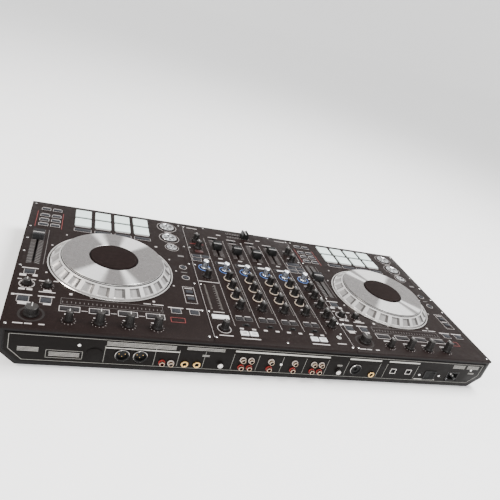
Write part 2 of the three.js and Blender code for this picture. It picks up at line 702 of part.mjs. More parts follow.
// Chrome push button with a dished face and a flange under the plate.
function pushButton(group, name, centre) {
  const top = TOP_HEIGHT + BUTTON_RISE;
  const flangeTop = PLATE_UNDER - BUTTON_FLANGE_DROP;
  place(group, name, revolve([
    [0, flangeTop - BUTTON_FLANGE_THICKNESS],
    [BUTTON_RADIUS + BUTTON_FLANGE, flangeTop - BUTTON_FLANGE_THICKNESS],
    [BUTTON_RADIUS + BUTTON_FLANGE, flangeTop], [BUTTON_RADIUS, flangeTop],
    [BUTTON_RADIUS, top], [BUTTON_RADIUS - BUTTON_RIM, top - BUTTON_DISH],
    [0, top - BUTTON_DISH],
  ], BUTTON_SIDES, 0, 0), FINISH.chrome, centre);
}

// Fader cap on its stem. The cap's outline is in shares of its length and height.
const capShares = [
  [-0.5, 0], [0.5, 0], [0.42, 0.88], [0.34, 1], [0.07, 0.8], [0, 0.87], [-0.07, 0.8],
  [-0.34, 1], [-0.42, 0.88],
];
function capOutline(length, height) {
  const foot = TOP_HEIGHT + CAP_FLOAT;
  return capShares.map(([u, v]) => [u * length, foot + v * height]);
}
function faderStem(width, length) {
  return block([-width / 2, -length / 2, TOP_HEIGHT - STEM_DROP],
    [width / 2, length / 2, TOP_HEIGHT + 2 * CAP_FLOAT]);
}
function faderCap({ width, length, height }) {
  return runAlongX(capOutline(length, height), -width / 2, width / 2)
    .add(faderStem(STEM_THICKNESS, STEM_LENGTH));
}
function crossCap({ width, length, height }) {
  return runAlongY(capOutline(width, height), -length / 2, length / 2)
    .add(faderStem(STEM_LENGTH, STEM_THICKNESS));
}

// Everything of one deck.
function deck(side) {
  const layout = deckLayout();
  const group = deckGroups[side];
  deckPlate(side, layout);
  deckKeys(side, layout);
  padMat(side, layout);
  jogBase(side, layout.jog);
  jogWheel(side, layout.jog);
  jogDisplay(side, layout.jog);
  layout.effects.forEach((centre, i) => {
    const kind = i < layout.effects.length - 1 ? EFFECT_KNOB : ENCODER_KNOB;
    place(group, `${side}_effect_knob_${i + 1}`, knob(kind, 0, 0, SHAFT_END), FINISH.knob, centre);
  });
  place(group, `${side}_rotary_selector`, knob(SELECTOR_KNOB, 0, 0, SHAFT_END, SELECTOR_SIDES),
    FINISH.knob, layout.selector);
  Object.entries(layout.buttons).forEach(
    ([name, centre]) => pushButton(group, `${side}_${name}_button`, centre));
  const [tempoX, tempoY] = layout.tempo;
  const rest = tempoY + tempoRestShare[side] * TEMPO_TRAVEL;
  place(group, `${side}_tempo_fader`, faderCap(TEMPO_CAP), FINISH.tempoCap, [tempoX, rest]);
}

// The mixer's keys, each with its size and place.
function mixerKeyList() {
  const at = ([xShare, yShare]) => [xShare * MIXER_WIDTH, yShare * TOP_DEPTH];
  const column = sideColumnShare;
  return [
    ...channelXShares.map((share) => [KEYS.cue, at([share, cueKeyYShare])]),
    ...channelXShares.flatMap((share) => [-1, 1].map((side) => {
      const [x, y] = at([share, pairKeyYShare]);
      return [KEYS.pair, [x + side * (KEYS.pair[0] / 2 + KEY_CARRIER), y]];
    })),
    ...windowKeyXShares.map((share) => [KEYS.window, at([share, windowKeyYShare])]),
    [KEYS.master, at([column, masterKeyYShare])],
    ...micKeyShares.map((shares) => [KEYS.wide, at(shares)]),
    [KEYS.master, at([-column, micWideKeyYShare])],
    ...masterKeyShares.map((shares) => [KEYS.wide, at(shares)]),
    [KEYS.wide, at([column, masterRedKeyYShare])],
  ];
}
function toggleSwitch(x, y) {
  return revolve([
    [0, PLATE_UNDER], [TOGGLE.nut, PLATE_UNDER], [TOGGLE.nut, TOP_HEIGHT + TOGGLE.nutHeight],
    [TOGGLE.neck, TOP_HEIGHT + TOGGLE.nutHeight],
    [TOGGLE.lever, TOP_HEIGHT + TOGGLE.length], [0, TOP_HEIGHT + TOGGLE.length],
  ], TOGGLE.sides, x, y);
}
function slideNub(x, y) {
  const [width, depth, rise] = SWITCH_NUB;
  return block([x - width / 2, y - depth / 2, TOP_HEIGHT - PLATE / 2],
    [x + width / 2, y + depth / 2, TOP_HEIGHT + rise]);
}

// Mixer plate; the microphone and master columns' knobs and the small switches are carried
// by the plate.
function mixer() {
  const keys = mixerKeyList();
  const channelXs = channelXShares.map((share) => share * MIXER_WIDTH);
  const rowYs = knobRows.map(({ yShare }) => yShare * TOP_DEPTH);
  const columnX = sideColumnShare * MIXER_WIDTH;
  const faderY = channelFaderYShare * TOP_DEPTH;
  const crossY = crossfaderYShare * TOP_DEPTH;
  const slotWidth = STEM_THICKNESS + 2 * SLOT_GAP;
  const slotEnds = STEM_LENGTH + 2 * SLOT_GAP;
  const holes = [
    ...channelXs.flatMap((x) => rowYs.map(
      (y) => roundHole(x, y, SHAFT_RADIUS + SHAFT_GAP, SHAFT_SIDES))),
    ...channelXs.map((x) => boxHole(x, faderY, slotWidth, CHANNEL_TRAVEL + slotEnds)),
    boxHole(0, crossY, CROSS_TRAVEL + slotEnds, slotWidth),
    ...keys.map(([[w, d], [x, y]]) => boxHole(x, y, w + 2 * KEY_GAP, d + 2 * KEY_GAP)),
  ];
  const half = MIXER_WIDTH / 2 - SEAM / 2;
  const fixed = [
    ...micKnobYShares.map((share) => knob(CHANNEL_KNOB, -columnX, share * TOP_DEPTH,
      PLATE_UNDER)),
    ...masterKnobYShares.map((share) => knob(CHANNEL_KNOB, columnX, share * TOP_DEPTH,
      PLATE_UNDER)),
    toggleSwitch(-columnX, toggleYShare * TOP_DEPTH),
    ...channelXs.flatMap((x) => [inputSwitchYShare, assignSwitchYShare].map(
      (share) => slideNub(x, share * TOP_DEPTH))),
  ];
  place(mixerGroup, 'mixer_plate', join([carve(topPlate(-half, half), holes), ...fixed]), FINISH.plate);

  const top = PLATE_UNDER - KEY_CARRIER_DROP;
  place(mixerGroup, 'mixer_keys', join([
    carrierSheet(keys, top),
    ...keys.map(([size, [x, y]]) => key(size, x, y)),
  ]), FINISH.key);

  CHANNELS.forEach((channel, i) => {
    knobRows.forEach(({ name }, row) => {
      const material = name === 'colour_knob' ? FINISH.colourKnob : FINISH.knob;
      place(mixerGroup, `${name}_${channel}`, knob(CHANNEL_KNOB, 0, 0, SHAFT_END), material,
        [channelXs[i], rowYs[row]]);
    });
    const rest = faderY + channelRestShares[i] * CHANNEL_TRAVEL;
    place(mixerGroup, `channel_fader_${channel}`, faderCap(CHANNEL_CAP), FINISH.cap,
      [channelXs[i], rest]);
  });
  place(mixerGroup, 'crossfader', crossCap(CROSS_CAP), FINISH.cap,
    [crossfaderRestShare * CROSS_TRAVEL, crossY]);
}

// Rear sockets. Each returns what stands on the main board, and the hole in the rear panel.
const rearX = (share) => share * CASE_WIDTH;
function phonoGroup(x, columns, rows) {
  const top = PHONO_LOW + (rows - 1) * PHONO_RISE + PHONO_PITCH / 2;
  const half = (columns * PHONO_PITCH) / 2;
  const parts = [block([x - half, BLOCK_FACE - BLOCK_DEPTH, BOARD_HEIGHT],
    [x + half, BLOCK_FACE, top])];
  const bores = [];
  const cuts = [];
  for (let column = 0; column < columns; column += 1) {
    for (let row = 0; row < rows; row += 1) {
      const cx = x + (column - (columns - 1) / 2) * PHONO_PITCH;
      const cz = PHONO_LOW + row * PHONO_RISE;
      const tip = PANEL_FACE + PHONO_REACH;
      parts.push(spigot(cx, cz, PHONO_RADIUS, BLOCK_FACE - SEAT_GAP, tip, PHONO_SIDES));
      bores.push(spigot(cx, cz, PHONO_BORE, BLOCK_FACE, tip + OVERRUN, BORE_SIDES));
      cuts.push(spigot(cx, cz, PHONO_RADIUS + SEAT_GAP, PANEL_BACK - OVERRUN,
        PANEL_FACE + OVERRUN, PHONO_SIDES));
    }
  }
  return { parts, bores, cuts };
}
function jackSocket(x, z, radius, bore, depth, sides) {
  const back = PANEL_FACE + JACK_REACH - depth - CASE_WALL;
  return {
    parts: [
      block([x - radius, back, BOARD_HEIGHT], [x + radius, BLOCK_FACE, z + radius]),
      spigot(x, z, radius, BLOCK_FACE - SEAT_GAP, PANEL_FACE + JACK_REACH, sides),
    ],
    bores: [spigot(x, z, bore, back + CASE_WALL, REAR_REACH + OVERRUN, sides)],
    cuts: [spigot(x, z, radius + SEAT_GAP, PANEL_BACK - OVERRUN, PANEL_FACE + OVERRUN, sides)],
  };
}
function xlrSocket(x) {
  const socket = jackSocket(x, XLR_HEIGHT, XLR_RADIUS, XLR_CUP, XLR_DEPTH, XLR_SIDES);
  const back = PANEL_FACE + JACK_REACH - XLR_DEPTH;
  socket.pins = [0, 1, 2].map((i) => {
    const angle = (i - 1 / 2) * (Math.PI / 2) - Math.PI / 4;
    return spigot(x + XLR_PIN_CIRCLE * Math.cos(angle), XLR_HEIGHT + XLR_PIN_CIRCLE * Math.sin(angle),
      XLR_PIN, back - SEAT_GAP, back + XLR_PIN_LENGTH, PIN_SIDES);
  });
  return socket;
}
function usbSocket(x) {
  const z = XLR_HEIGHT;
  const [w, h] = [USB_WIDTH / 2, USB_HEIGHT / 2];
  const back = PANEL_FACE - USB_DEPTH;
  const [tongueW, tongueH] = USB_TONGUE;
  return {
    parts: [
      block([x - w, back - CASE_WALL, BOARD_HEIGHT], [x + w, BLOCK_FACE, z + h]),
      block([x - w, back, z - h], [x + w, PANEL_FACE, z + h]),
    ],
    bores: [block([x - w + USB_WALL, back, z - h + USB_WALL],
      [x + w - USB_WALL, PANEL_FACE + OVERRUN, z + h - USB_WALL])],
    pins: [block([x - tongueW / 2, back - SEAT_GAP, z - tongueH / 2],
      [x + tongueW / 2, PANEL_FACE - 2 * USB_WALL, z + tongueH / 2])],
    cuts: [block([x - w - SEAT_GAP, PANEL_BACK - OVERRUN, z - h - SEAT_GAP],
      [x + w + SEAT_GAP, PANEL_FACE + OVERRUN, z + h + SEAT_GAP])],
  };
}
function groundTerminal(x) {
  const z = TERMINAL_HEIGHT;
  return {
    parts: [
      block([x - TERMINAL_RADIUS, BLOCK_FACE - BLOCK_DEPTH, BOARD_HEIGHT],
        [x + TERMINAL_RADIUS, BLOCK_FACE, z + TERMINAL_RADIUS]),
      spigot(x, z, TERMINAL_STUD, BLOCK_FACE - SEAT_GAP, REAR_REACH, BORE_SIDES),
      spigot(x, z, TERMINAL_RADIUS, REAR_REACH - TERMINAL_REACH, REAR_REACH, JACK_SIDES),
    ],
    bores: [],
    cuts: [spigot(x, z, TERMINAL_STUD + SEAT_GAP, PANEL_BACK - OVERRUN, PANEL_FACE + OVERRUN,
      BORE_SIDES)],
  };
}

// Main board with the rear sockets, and the rear panel that they pass through.
function rearSockets() {
  const sockets = [
    ...xlrXShares.map((share) => xlrSocket(rearX(share))),
    ...recordPhonoXShares.map((share) => phonoGroup(rearX(share), 1, 1)),
    ...boothJackXShares.map((share) => jackSocket(rearX(share), PHONO_LOW, JACK_RADIUS,
      JACK_BORE, JACK_DEPTH, JACK_SIDES)),
    ...terminalXShares.map((share) => groundTerminal(rearX(share))),
    ...doublePhonoXShares.map((share) => phonoGroup(rearX(share), 2, 2)),
    ...singlePhonoXShares.map((share) => phonoGroup(rearX(share), 1, 2)),
    jackSocket(rearX(comboXShare), XLR_HEIGHT, XLR_RADIUS, JACK_BORE, JACK_DEPTH, XLR_SIDES),
    jackSocket(rearX(micJackXShare), PHONO_LOW, JACK_RADIUS, JACK_BORE, JACK_DEPTH, JACK_SIDES),
    ...usbXShares.map((share) => usbSocket(rearX(share))),
  ];
  const boardXs = boardXShares.map(rearX);
  const boardFront = BLOCK_FACE - BOARD_DEPTH;
  const sheet = block([boardXs[0], boardFront, BOARD_HEIGHT - BOARD_THICKNESS],
    [boardXs[1], BLOCK_FACE, BOARD_HEIGHT + SEAT_GAP]);
  const standoffs = [1, -1].flatMap((inward, end) => [
    boardFront + STANDOFF_INSET, CASE_REAR - REAR_FRAME - STANDOFF_INSET,
  ].map((y) => post(boardXs[end] + inward * STANDOFF_INSET, y, STANDOFF_RADIUS,
    FOOT_HEIGHT + CASE_WALL + SEAT_GAP, BOARD_HEIGHT, SHAFT_SIDES)));
  let board = join([sheet, ...standoffs, ...sockets.flatMap(({ parts }) => parts)]);
  board = carve(board, sockets.flatMap(({ bores }) => bores));
  board = join([board, ...sockets.flatMap(({ pins = [] }) => pins)]);
  place(controller, 'main_board', board, FINISH.board);

  const cuts = sockets.flatMap((socket) => socket.cuts);
  const panel = carve(runAlongY(panelOutline(0), PANEL_BACK, PANEL_FACE), cuts);
  const [w, h] = [ROCKER_WIDTH / 2 + ROCKER_GAP, ROCKER_HEIGHT / 2 + ROCKER_GAP];
  const rockerX = rearX(rockerXShare);
  const bezel = block(
    [rockerX - w - ROCKER_BEZEL, PANEL_FACE - SEAT_GAP, MAINS_HEIGHT - h - ROCKER_BEZEL],
    [rockerX + w + ROCKER_BEZEL, PANEL_FACE + ROCKER_BEZEL_RISE,
      MAINS_HEIGHT + h + ROCKER_BEZEL]);
  const opening = block([rockerX - w, PANEL_BACK - OVERRUN, MAINS_HEIGHT - h],
    [rockerX + w, PANEL_FACE + OVERRUN, MAINS_HEIGHT + h]);
  const inlet = inletBox(SEAT_GAP, PANEL_BACK - OVERRUN, PANEL_FACE + OVERRUN);
  const lockX = rearX(lockXShare);
  const [lockW, lockH] = LOCK_SLOT;
  const lock = spigot(lockX, LOCK_HEIGHT, LOCK_RADIUS, PANEL_FACE - SEAT_GAP,
    PANEL_FACE + LOCK_RISE, XLR_SIDES);
  const lockSlot = block([lockX - lockW / 2, PANEL_BACK - OVERRUN, LOCK_HEIGHT - lockH / 2],
    [lockX + lockW / 2, PANEL_FACE + OVERRUN, LOCK_HEIGHT + lockH / 2]);
  place(controller, 'rear_panel', carve(join([panel, bezel, lock]), [opening, inlet, lockSlot]),
    FINISH.panel);
}

// Mains inlet outline: a box with its two lower corners cut.
function inletBox(grow, y0, y1) {
  const [w, h] = [INLET_WIDTH / 2 + grow, INLET_HEIGHT / 2 + grow];
  const x = rearX(inletXShare);
  const z = MAINS_HEIGHT;
  const cut = INLET_PIN_STEP;
  return runAlongY([
    [x - w + cut, z - h], [x + w - cut, z - h], [x + w, z - h + cut], [x + w, z + h],
    [x - w, z + h], [x - w, z - h + cut],
  ], y0, y1);
}

// Power supply with the mains inlet on its rear end.
function powerSupply() {
  const x = rearX(inletXShare);
  const z = MAINS_HEIGHT;
  const floor = FOOT_HEIGHT + CASE_WALL + SEAT_GAP;
  const rear = BLOCK_FACE - ROCKER_DEPTH - INLET_DEPTH;
  const box = block([x, rear - SUPPLY_DEPTH, floor],
    [x + SUPPLY_WIDTH, rear, floor + SUPPLY_HEIGHT]);
  const back = PANEL_FACE - INLET_DEPTH;
  const neck = inletBox(0, rear - INLET_WALL, PANEL_FACE);
  const cavity = inletBox(-INLET_WALL, back, PANEL_FACE + OVERRUN);
  const [pinW, pinH] = INLET_PIN;
  const pins = [-1, 0, 1].map((i) => {
    const px = x + i * INLET_PIN_SPREAD;
    const pz = z + (i === 0 ? INLET_PIN_STEP / 2 : -INLET_PIN_STEP / 2);
    return block([px - pinW / 2, back - SEAT_GAP, pz - pinH / 2],
      [px + pinW / 2, back + INLET_PIN_LENGTH, pz + pinH / 2]);
  });
  place(controller, 'power_supply', join([box, neck.subtract(cavity), ...pins]), FINISH.supply);
}

// Power rocker, tipped to its off side, turning about a vertical axis behind the panel.
function powerSwitch() {
  const w = ROCKER_WIDTH / 2;
  const face = ROCKER_BEZEL_RISE;
  const shape = outline([
    [-w, -ROCKER_DEPTH], [w, -ROCKER_DEPTH], [w, face], [0, face - LOCK_RISE], [-w, face],
  ]);
  const rocker = new THREE.ExtrudeGeometry(shape, { depth: ROCKER_HEIGHT, bevelEnabled: false });
  rocker.rotateZ(THREE.MathUtils.degToRad(-ROCKER_TILT));
  rocker.translate(rearX(rockerXShare), PANEL_FACE, MAINS_HEIGHT - ROCKER_HEIGHT / 2);
  place(controller, 'power_switch', solid(rocker), FINISH.rocker);
}

bottomCase();
SIDES.forEach(deck);
mixer();
rearSockets();
powerSupply();
powerSwitch();

export default controller;
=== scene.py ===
"""Dresses a four-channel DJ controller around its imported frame.

Lengths in this script are in millimetres in the part's own frame, until they reach a Blender
call. +X is the unit's right from the user's seat, +Y runs to the rear face, +Z is up.
"""

import logging
import math
from dataclasses import dataclass, replace
from enum import Enum
from typing import Callable, Sequence

import bmesh
import bpy
from mathutils import Matrix, Vector


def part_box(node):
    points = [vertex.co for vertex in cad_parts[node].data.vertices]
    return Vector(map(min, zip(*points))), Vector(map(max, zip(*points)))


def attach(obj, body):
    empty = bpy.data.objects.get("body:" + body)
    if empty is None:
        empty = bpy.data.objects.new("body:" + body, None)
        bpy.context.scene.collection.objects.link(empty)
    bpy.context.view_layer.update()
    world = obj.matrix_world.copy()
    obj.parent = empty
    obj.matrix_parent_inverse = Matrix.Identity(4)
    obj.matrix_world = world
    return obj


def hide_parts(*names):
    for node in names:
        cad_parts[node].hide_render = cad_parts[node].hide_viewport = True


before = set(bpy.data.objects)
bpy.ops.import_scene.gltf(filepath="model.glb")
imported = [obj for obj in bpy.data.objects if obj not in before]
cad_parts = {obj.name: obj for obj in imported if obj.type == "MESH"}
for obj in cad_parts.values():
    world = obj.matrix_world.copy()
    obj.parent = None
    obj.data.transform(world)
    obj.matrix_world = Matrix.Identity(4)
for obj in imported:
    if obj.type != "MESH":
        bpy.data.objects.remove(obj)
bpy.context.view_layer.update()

# Sizes and names that several pieces share
MM = 0.001
CHASSIS = "chassis"
TOP = 69.7
PLATE = 2.0
INK = 0.12
SIDES = ("left", "right")
CHANNELS = (1, 2, 3, 4)
DECK_WIDTH = 307.0
MIXER_WIDTH = 262.0
TOP_DEPTH = 414.8
CASE_WIDTH = 876.0

Point = tuple[float, float]
Place = tuple[float, float, float]
Box = tuple[float, float, float, float]
Floats = tuple[float, ...]
Mark = tuple[float, ...]
Colour = tuple[float, float, float]
log = logging.getLogger("controller")


class Pattern(Enum):
    """How a finish varies over its surface."""

    MOTTLE = "mottle"
    SPECKLE = "speckle"
    BRUSHED = "brushed"
    # Painted highlights: bright wedges round a middle, as on ring-brushed metal
    WEDGES = "wedges"


# The colour sockets of a Mix node
MIX_A, MIX_B, MIX_RESULT = 6, 7, 2


def feed(tree: bpy.types.NodeTree, node: bpy.types.Node | str,
         inputs: dict) -> bpy.types.Node:
    """Fills a node's inputs: a socket is linked, any other value is set.

    Args:
        tree: The node tree.
        node: The node, or the end of a new node's type name.
        inputs: The value of each input, by its name or number.

    Returns:
        The node.
    """
    if isinstance(node, str):
        node = tree.nodes.new("ShaderNode" + node)
    for key, value in inputs.items():
        if isinstance(value, bpy.types.NodeSocket):
            tree.links.new(value, node.inputs[key])
        else:
            node.inputs[key].default_value = value
    return node


@dataclass(frozen=True)
class Finish:
    """One procedural finish.

    A noise in the piece's own coordinates carries its two colours, its roughness and its bump.
    """

    name: str
    slot: str
    colour: Colour
    second: Colour
    rough: Point = (0.4, 0.5)
    metal: float = 0.0
    grain: float = 1.5
    bump: float = 0.04
    pattern: Pattern = Pattern.MOTTLE
    centre: Point = (0.0, 0.0)
    glow: float = 0.0
    specular: float = 0.35
    # Middle angle and half width of each painted highlight wedge, and the painted shade between
    # them
    lobes: tuple[Point, ...] = ()
    shade: float = 0.3

    def material(self) -> bpy.types.Material:
        """Makes the material, once for each name.

        Returns:
            The material with its node tree.
        """
        known = bpy.data.materials.get(self.name)
        if known:
            return known
        material = bpy.data.materials.new(self.name)
        material.use_nodes = True
        tree = material.node_tree
        place = feed(tree, "Mapping", {
            "Vector": tree.nodes.new("ShaderNodeTexCoord").outputs["Object"],
            "Location": (-self.centre[0] * MM, -self.centre[1] * MM, 0.0)}).outputs["Vector"]
        source = place
        if self.pattern is Pattern.BRUSHED:
            stretch = feed(tree, "Mapping", {"Vector": place, "Scale": (0.04, 1.0, 1.0)})
            source = stretch.outputs["Vector"]
        value = feed(tree, "TexNoise", {"Vector": source, "Scale": 1.0 / (self.grain * MM),
                                        "Detail": 6.0}).outputs["Fac"]
        ramp = feed(tree, "ValToRGB", {"Fac": value})
        ends = (0.55, 0.75) if self.pattern is Pattern.SPECKLE else (0.3, 0.7)
        for stop, end, tone in zip(ramp.color_ramp.elements, ends, (self.colour, self.second)):
            stop.position, stop.color = end, (*tone, 1.0)
        colour = ramp.outputs["Color"]
        glow = (*self.colour, 1.0)
        # Painted highlights: the wedges set both the colour and the glow's colour
        if self.pattern is Pattern.WEDGES:
            glow = colour = self.wedges(tree, place, colour)
        smear = feed(tree, "TexNoise", {"Vector": place, "Detail": 4.0,
                                        "Scale": 1.0 / (self.grain * MM * 12.0)})
        spread = feed(tree, "MapRange", {"Value": smear.outputs["Fac"],
                                         "From Min": 0.3, "From Max": 0.7,
                                         "To Min": self.rough[0], "To Max": self.rough[1]})
        relief = feed(tree, "Bump", {"Height": value, "Strength": self.bump,
                                     "Distance": 0.2 * MM})
        feed(tree, tree.nodes["Principled BSDF"], {
            "Base Color": colour, "Roughness": spread.outputs["Result"],
            "Normal": relief.outputs["Normal"], "Metallic": self.metal,
            "Specular IOR Level": self.specular, "Emission Color": glow,
            "Emission Strength": self.glow})
        return material

    def wedges(self, tree: bpy.types.NodeTree, place: bpy.types.NodeSocket,
               colour: bpy.types.NodeSocket) -> bpy.types.NodeSocket:
        """Paints highlights into the colour: bright wedges, as ring-brushed metal reflects, with
        painted shade between them.

        Args:
            tree: The node tree that is built.
            place: Coordinates from the rings' middle.
            colour: The finish's own colour.

        Returns:
            The colour with its painted highlight wedges.
        """
        turn = feed(tree, "TexGradient", {"Vector": place})
        turn.gradient_type = "RADIAL"
        ramp = feed(tree, "ValToRGB", {"Fac": turn.outputs["Fac"]})
        ramp.color_ramp.interpolation = "EASE"
        dark = (self.shade, self.shade * 0.96, self.shade * 0.95, 1.0)
        light = (1.0, 1.0, 1.0, 1.0)
        stops = []
        for middle_angle, half in self.lobes:
            for opposite in (0.0, 180.0):
                at = (middle_angle + opposite + 180.0) % 360.0
                stops += [(at - half - 8.0, dark), (at - half + 4.0, light),
                          (at + half - 4.0, light), (at + half + 8.0, dark)]
        stops = sorted((position / 360.0, tone) for position, tone in stops
                       if 0.0 <= position <= 360.0)
        elements = ramp.color_ramp.elements
        elements[0].color = elements[1].color = dark
        for position, tone in stops:
            elements.new(position).color = tone
        mix = tree.nodes.new("ShaderNodeMix")
        mix.data_type, mix.blend_type = "RGBA", "MULTIPLY"
        feed(tree, mix, {"Factor": 1.0, MIX_A: colour, MIX_B: ramp.outputs["Color"]})
        return mix.outputs[MIX_RESULT]

    def coat_node(self, node: str) -> None:
        """Gives a CAD node this finish."""
        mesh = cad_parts[node].data
        mesh.materials.clear()
        mesh.materials.append(self.material())


PAINT = Finish("top_paint", "top_plate", (0.0085, 0.0054, 0.005), (0.024, 0.016, 0.014),
               rough=(0.36, 0.48), grain=0.9, bump=0.08, specular=0.05, pattern=Pattern.SPECKLE)
CASE_PAINT = Finish("case_paint", "case", (0.006, 0.0055, 0.0058), (0.011, 0.01, 0.01),
                    rough=(0.4, 0.55), grain=1.2, bump=0.3, specular=0.08)
PANEL_PAINT = Finish("rear_paint", "rear_panel", (0.0034, 0.0028, 0.0026), (0.0065, 0.0055, 0.005),
                     rough=(0.35, 0.5), grain=0.9, bump=0.15, specular=0.05)
FOOT_RUBBER = Finish("foot_rubber", "case", (0.01, 0.01, 0.01), (0.017, 0.017, 0.017),
                     rough=(0.6, 0.75), grain=1.0, bump=0.25)
BOARD_GREEN = Finish("board_green", "circuit_board", (0.012, 0.06, 0.03), (0.02, 0.09, 0.045),
                     rough=(0.35, 0.5), grain=3.0, bump=0.1)
CAN_STEEL = Finish("can_steel", "supply_can", (0.3, 0.31, 0.32), (0.42, 0.43, 0.44),
                   rough=(0.3, 0.45), metal=1.0, grain=3.0, bump=0.1, pattern=Pattern.BRUSHED)
WHITE_INK = Finish("white_ink", "top_plate", (0.46, 0.43, 0.42), (0.28, 0.265, 0.26),
                   rough=(0.35, 0.5))
GREY_INK = Finish("grey_ink", "top_plate", (0.12, 0.112, 0.11), (0.07, 0.066, 0.064))
DIM_INK = Finish("dim_ink", "top_plate", (0.024, 0.021, 0.0205), (0.016, 0.014, 0.0135),
                 specular=0.05)
RED_INK = Finish("red_ink", "top_plate", (0.21, 0.03, 0.027), (0.14, 0.02, 0.02))
REAR_INK = Finish("rear_ink", "rear_panel", (0.24, 0.235, 0.215), (0.14, 0.138, 0.125))
# Painted highlights: bright reflection wedges in the platter's colour, made brighter by the glow,
# with painted shade between them
SPIN_METAL = Finish("spun_aluminium", "jog_metal", (0.9, 0.88, 0.87), (0.94, 0.93, 0.92),
                    rough=(0.24, 0.3), metal=1.0, grain=1.1, bump=0.005, pattern=Pattern.WEDGES,
                    glow=0.3, shade=0.24)
SKIRT_METAL = Finish("skirt_aluminium", "jog_metal", (0.4, 0.39, 0.384), (0.48, 0.468, 0.46),
                     rough=(0.3, 0.4), metal=0.35, bump=0.02)
# Painted shadow: one side wall and the top row of each dimple are dark for the shadow that falls
# there
SHADOWED_DIMPLE_WALL = Finish("painted_shadow_dimple_wall", "jog_metal", (0.055, 0.052, 0.05), (0.085, 0.08, 0.078),
                      rough=(0.3, 0.42), metal=0.3, bump=0.02)
# Painted shade: the dimples' faces are darker than the skirt for the shade in the hollows
SHADED_DIMPLE = Finish("painted_shade_dimple", "jog_metal", (0.24, 0.231, 0.227), (0.3, 0.291, 0.285),
                      rough=(0.28, 0.38), metal=0.5, bump=0.02)
RING_METAL = Finish("ring_aluminium", "jog_ring", (0.66, 0.64, 0.62), (0.74, 0.72, 0.7),
                    rough=(0.18, 0.28), metal=1.0, bump=0.03)
CUP_BLACK = Finish("cup_black", "jog_ring", (0.004, 0.004, 0.004), (0.008, 0.008, 0.008),
                   rough=(0.5, 0.6), bump=0.1, specular=0.1)
GLASS = Finish("dark_glass", "display_glass", (0.009, 0.0062, 0.0058), (0.0125, 0.0085, 0.008),
               rough=(0.3, 0.42), grain=6.0, bump=0.01, specular=0.01)
PAD_WHITE = Finish("pale_silicone", "pad_silicone", (0.56, 0.66, 0.64), (0.64, 0.73, 0.71),
                   rough=(0.42, 0.55), grain=1.0, bump=0.08)
PAD_BLACK = Finish("pad_surround", "pad_silicone", (0.02, 0.02, 0.022), (0.03, 0.03, 0.032),
                   rough=(0.5, 0.6), grain=1.0, bump=0.12)
KEY_GREY = Finish("key_grey", "key_plastic", (0.016, 0.0165, 0.019), (0.03, 0.031, 0.035),
                  rough=(0.3, 0.42), grain=2.5, specular=0.06)
KEY_DARK = Finish("key_dark", "key_plastic", (0.014, 0.013, 0.0135), (0.024, 0.022, 0.023),
                  rough=(0.3, 0.42), grain=2.5, specular=0.05)
KEY_WHITE = Finish("key_white", "key_plastic", (0.5, 0.5, 0.51), (0.62, 0.62, 0.63),
                   rough=(0.25, 0.36), grain=2.5, bump=0.03)
KEY_RED = Finish("key_red", "key_plastic", (0.022, 0.008, 0.007), (0.036, 0.011, 0.01),
                 rough=(0.25, 0.36), grain=2.5)
RUBBER = Finish("knob_rubber", "knob_black", (0.006, 0.0052, 0.005), (0.011, 0.0095, 0.009),
                rough=(0.26, 0.4), grain=0.8, bump=0.1, specular=0.2)
KNOB_CAP = Finish("knob_cap", "knob_black", (0.016, 0.0145, 0.014), (0.03, 0.0275, 0.026),
                  rough=(0.3, 0.42), grain=1.2, bump=0.06, specular=0.2)
SILVER_KNOB = Finish("silver_knob", "colour_knob", (0.3, 0.31, 0.34), (0.42, 0.44, 0.48),
                     rough=(0.12, 0.22), metal=1.0, grain=3.0, bump=0.02)
# The silver cap's glow is a painted highlight: it shines though no lamp is in it
SILVER_CAP = Finish("silver_cap", "colour_knob", (0.84, 0.86, 0.9), (0.9, 0.92, 0.95),
                    rough=(0.2, 0.3), metal=0.4, grain=3.0, bump=0.02, glow=0.15)
CREAM = Finish("cream_ring", "knob_black", (0.44, 0.36, 0.28), (0.54, 0.45, 0.36),
               rough=(0.25, 0.35))
BLUE_RING = Finish("blue_ring", "colour_knob", (0.07, 0.15, 0.4), (0.1, 0.2, 0.48),
                   rough=(0.2, 0.3), glow=0.15)
CAP_BLACK = Finish("cap_black", "fader_cap", (0.006, 0.006, 0.006), (0.012, 0.012, 0.012),
                   rough=(0.25, 0.38), grain=1.0, bump=0.1, specular=0.15)
CAP_GREY = Finish("cap_grey", "tempo_cap", (0.012, 0.012, 0.0125), (0.024, 0.024, 0.025),
                  rough=(0.2, 0.32), grain=1.0, bump=0.06, specular=0.12)
MARK = Finish("pointer_white", "knob_black", (0.42, 0.41, 0.4), (0.34, 0.33, 0.32))
# Painted highlights: bright reflection wedges in the chrome's colour, with painted shade between
# them
CHROME = Finish("button_chrome", "chrome", (0.95, 0.96, 0.98), (0.88, 0.89, 0.92),
                rough=(0.12, 0.2), metal=1.0, grain=0.6, bump=0.02, pattern=Pattern.WEDGES,
                lobes=((62.0, 14.0), (128.0, 9.0), (165.0, 3.0)), shade=0.13)
RIM_CHROME = Finish("rim_chrome", "chrome", (0.5, 0.5, 0.51), (0.58, 0.58, 0.6), rough=(0.1, 0.18),
                    metal=1.0, grain=1.6, bump=0.03)
STEEL = Finish("screw_steel", "case", (0.62, 0.61, 0.59), (0.72, 0.71, 0.69), rough=(0.2, 0.3),
               metal=1.0, grain=0.8, bump=0.06)
GOLD = Finish("socket_gold", "circuit_board", (0.52, 0.33, 0.12), (0.6, 0.4, 0.17),
              rough=(0.15, 0.25), metal=1.0, grain=1.0, bump=0.05)
TIN = Finish("socket_tin", "circuit_board", (0.42, 0.4, 0.38), (0.5, 0.48, 0.46), rough=(0.18, 0.3),
             metal=1.0, grain=1.0, bump=0.05)
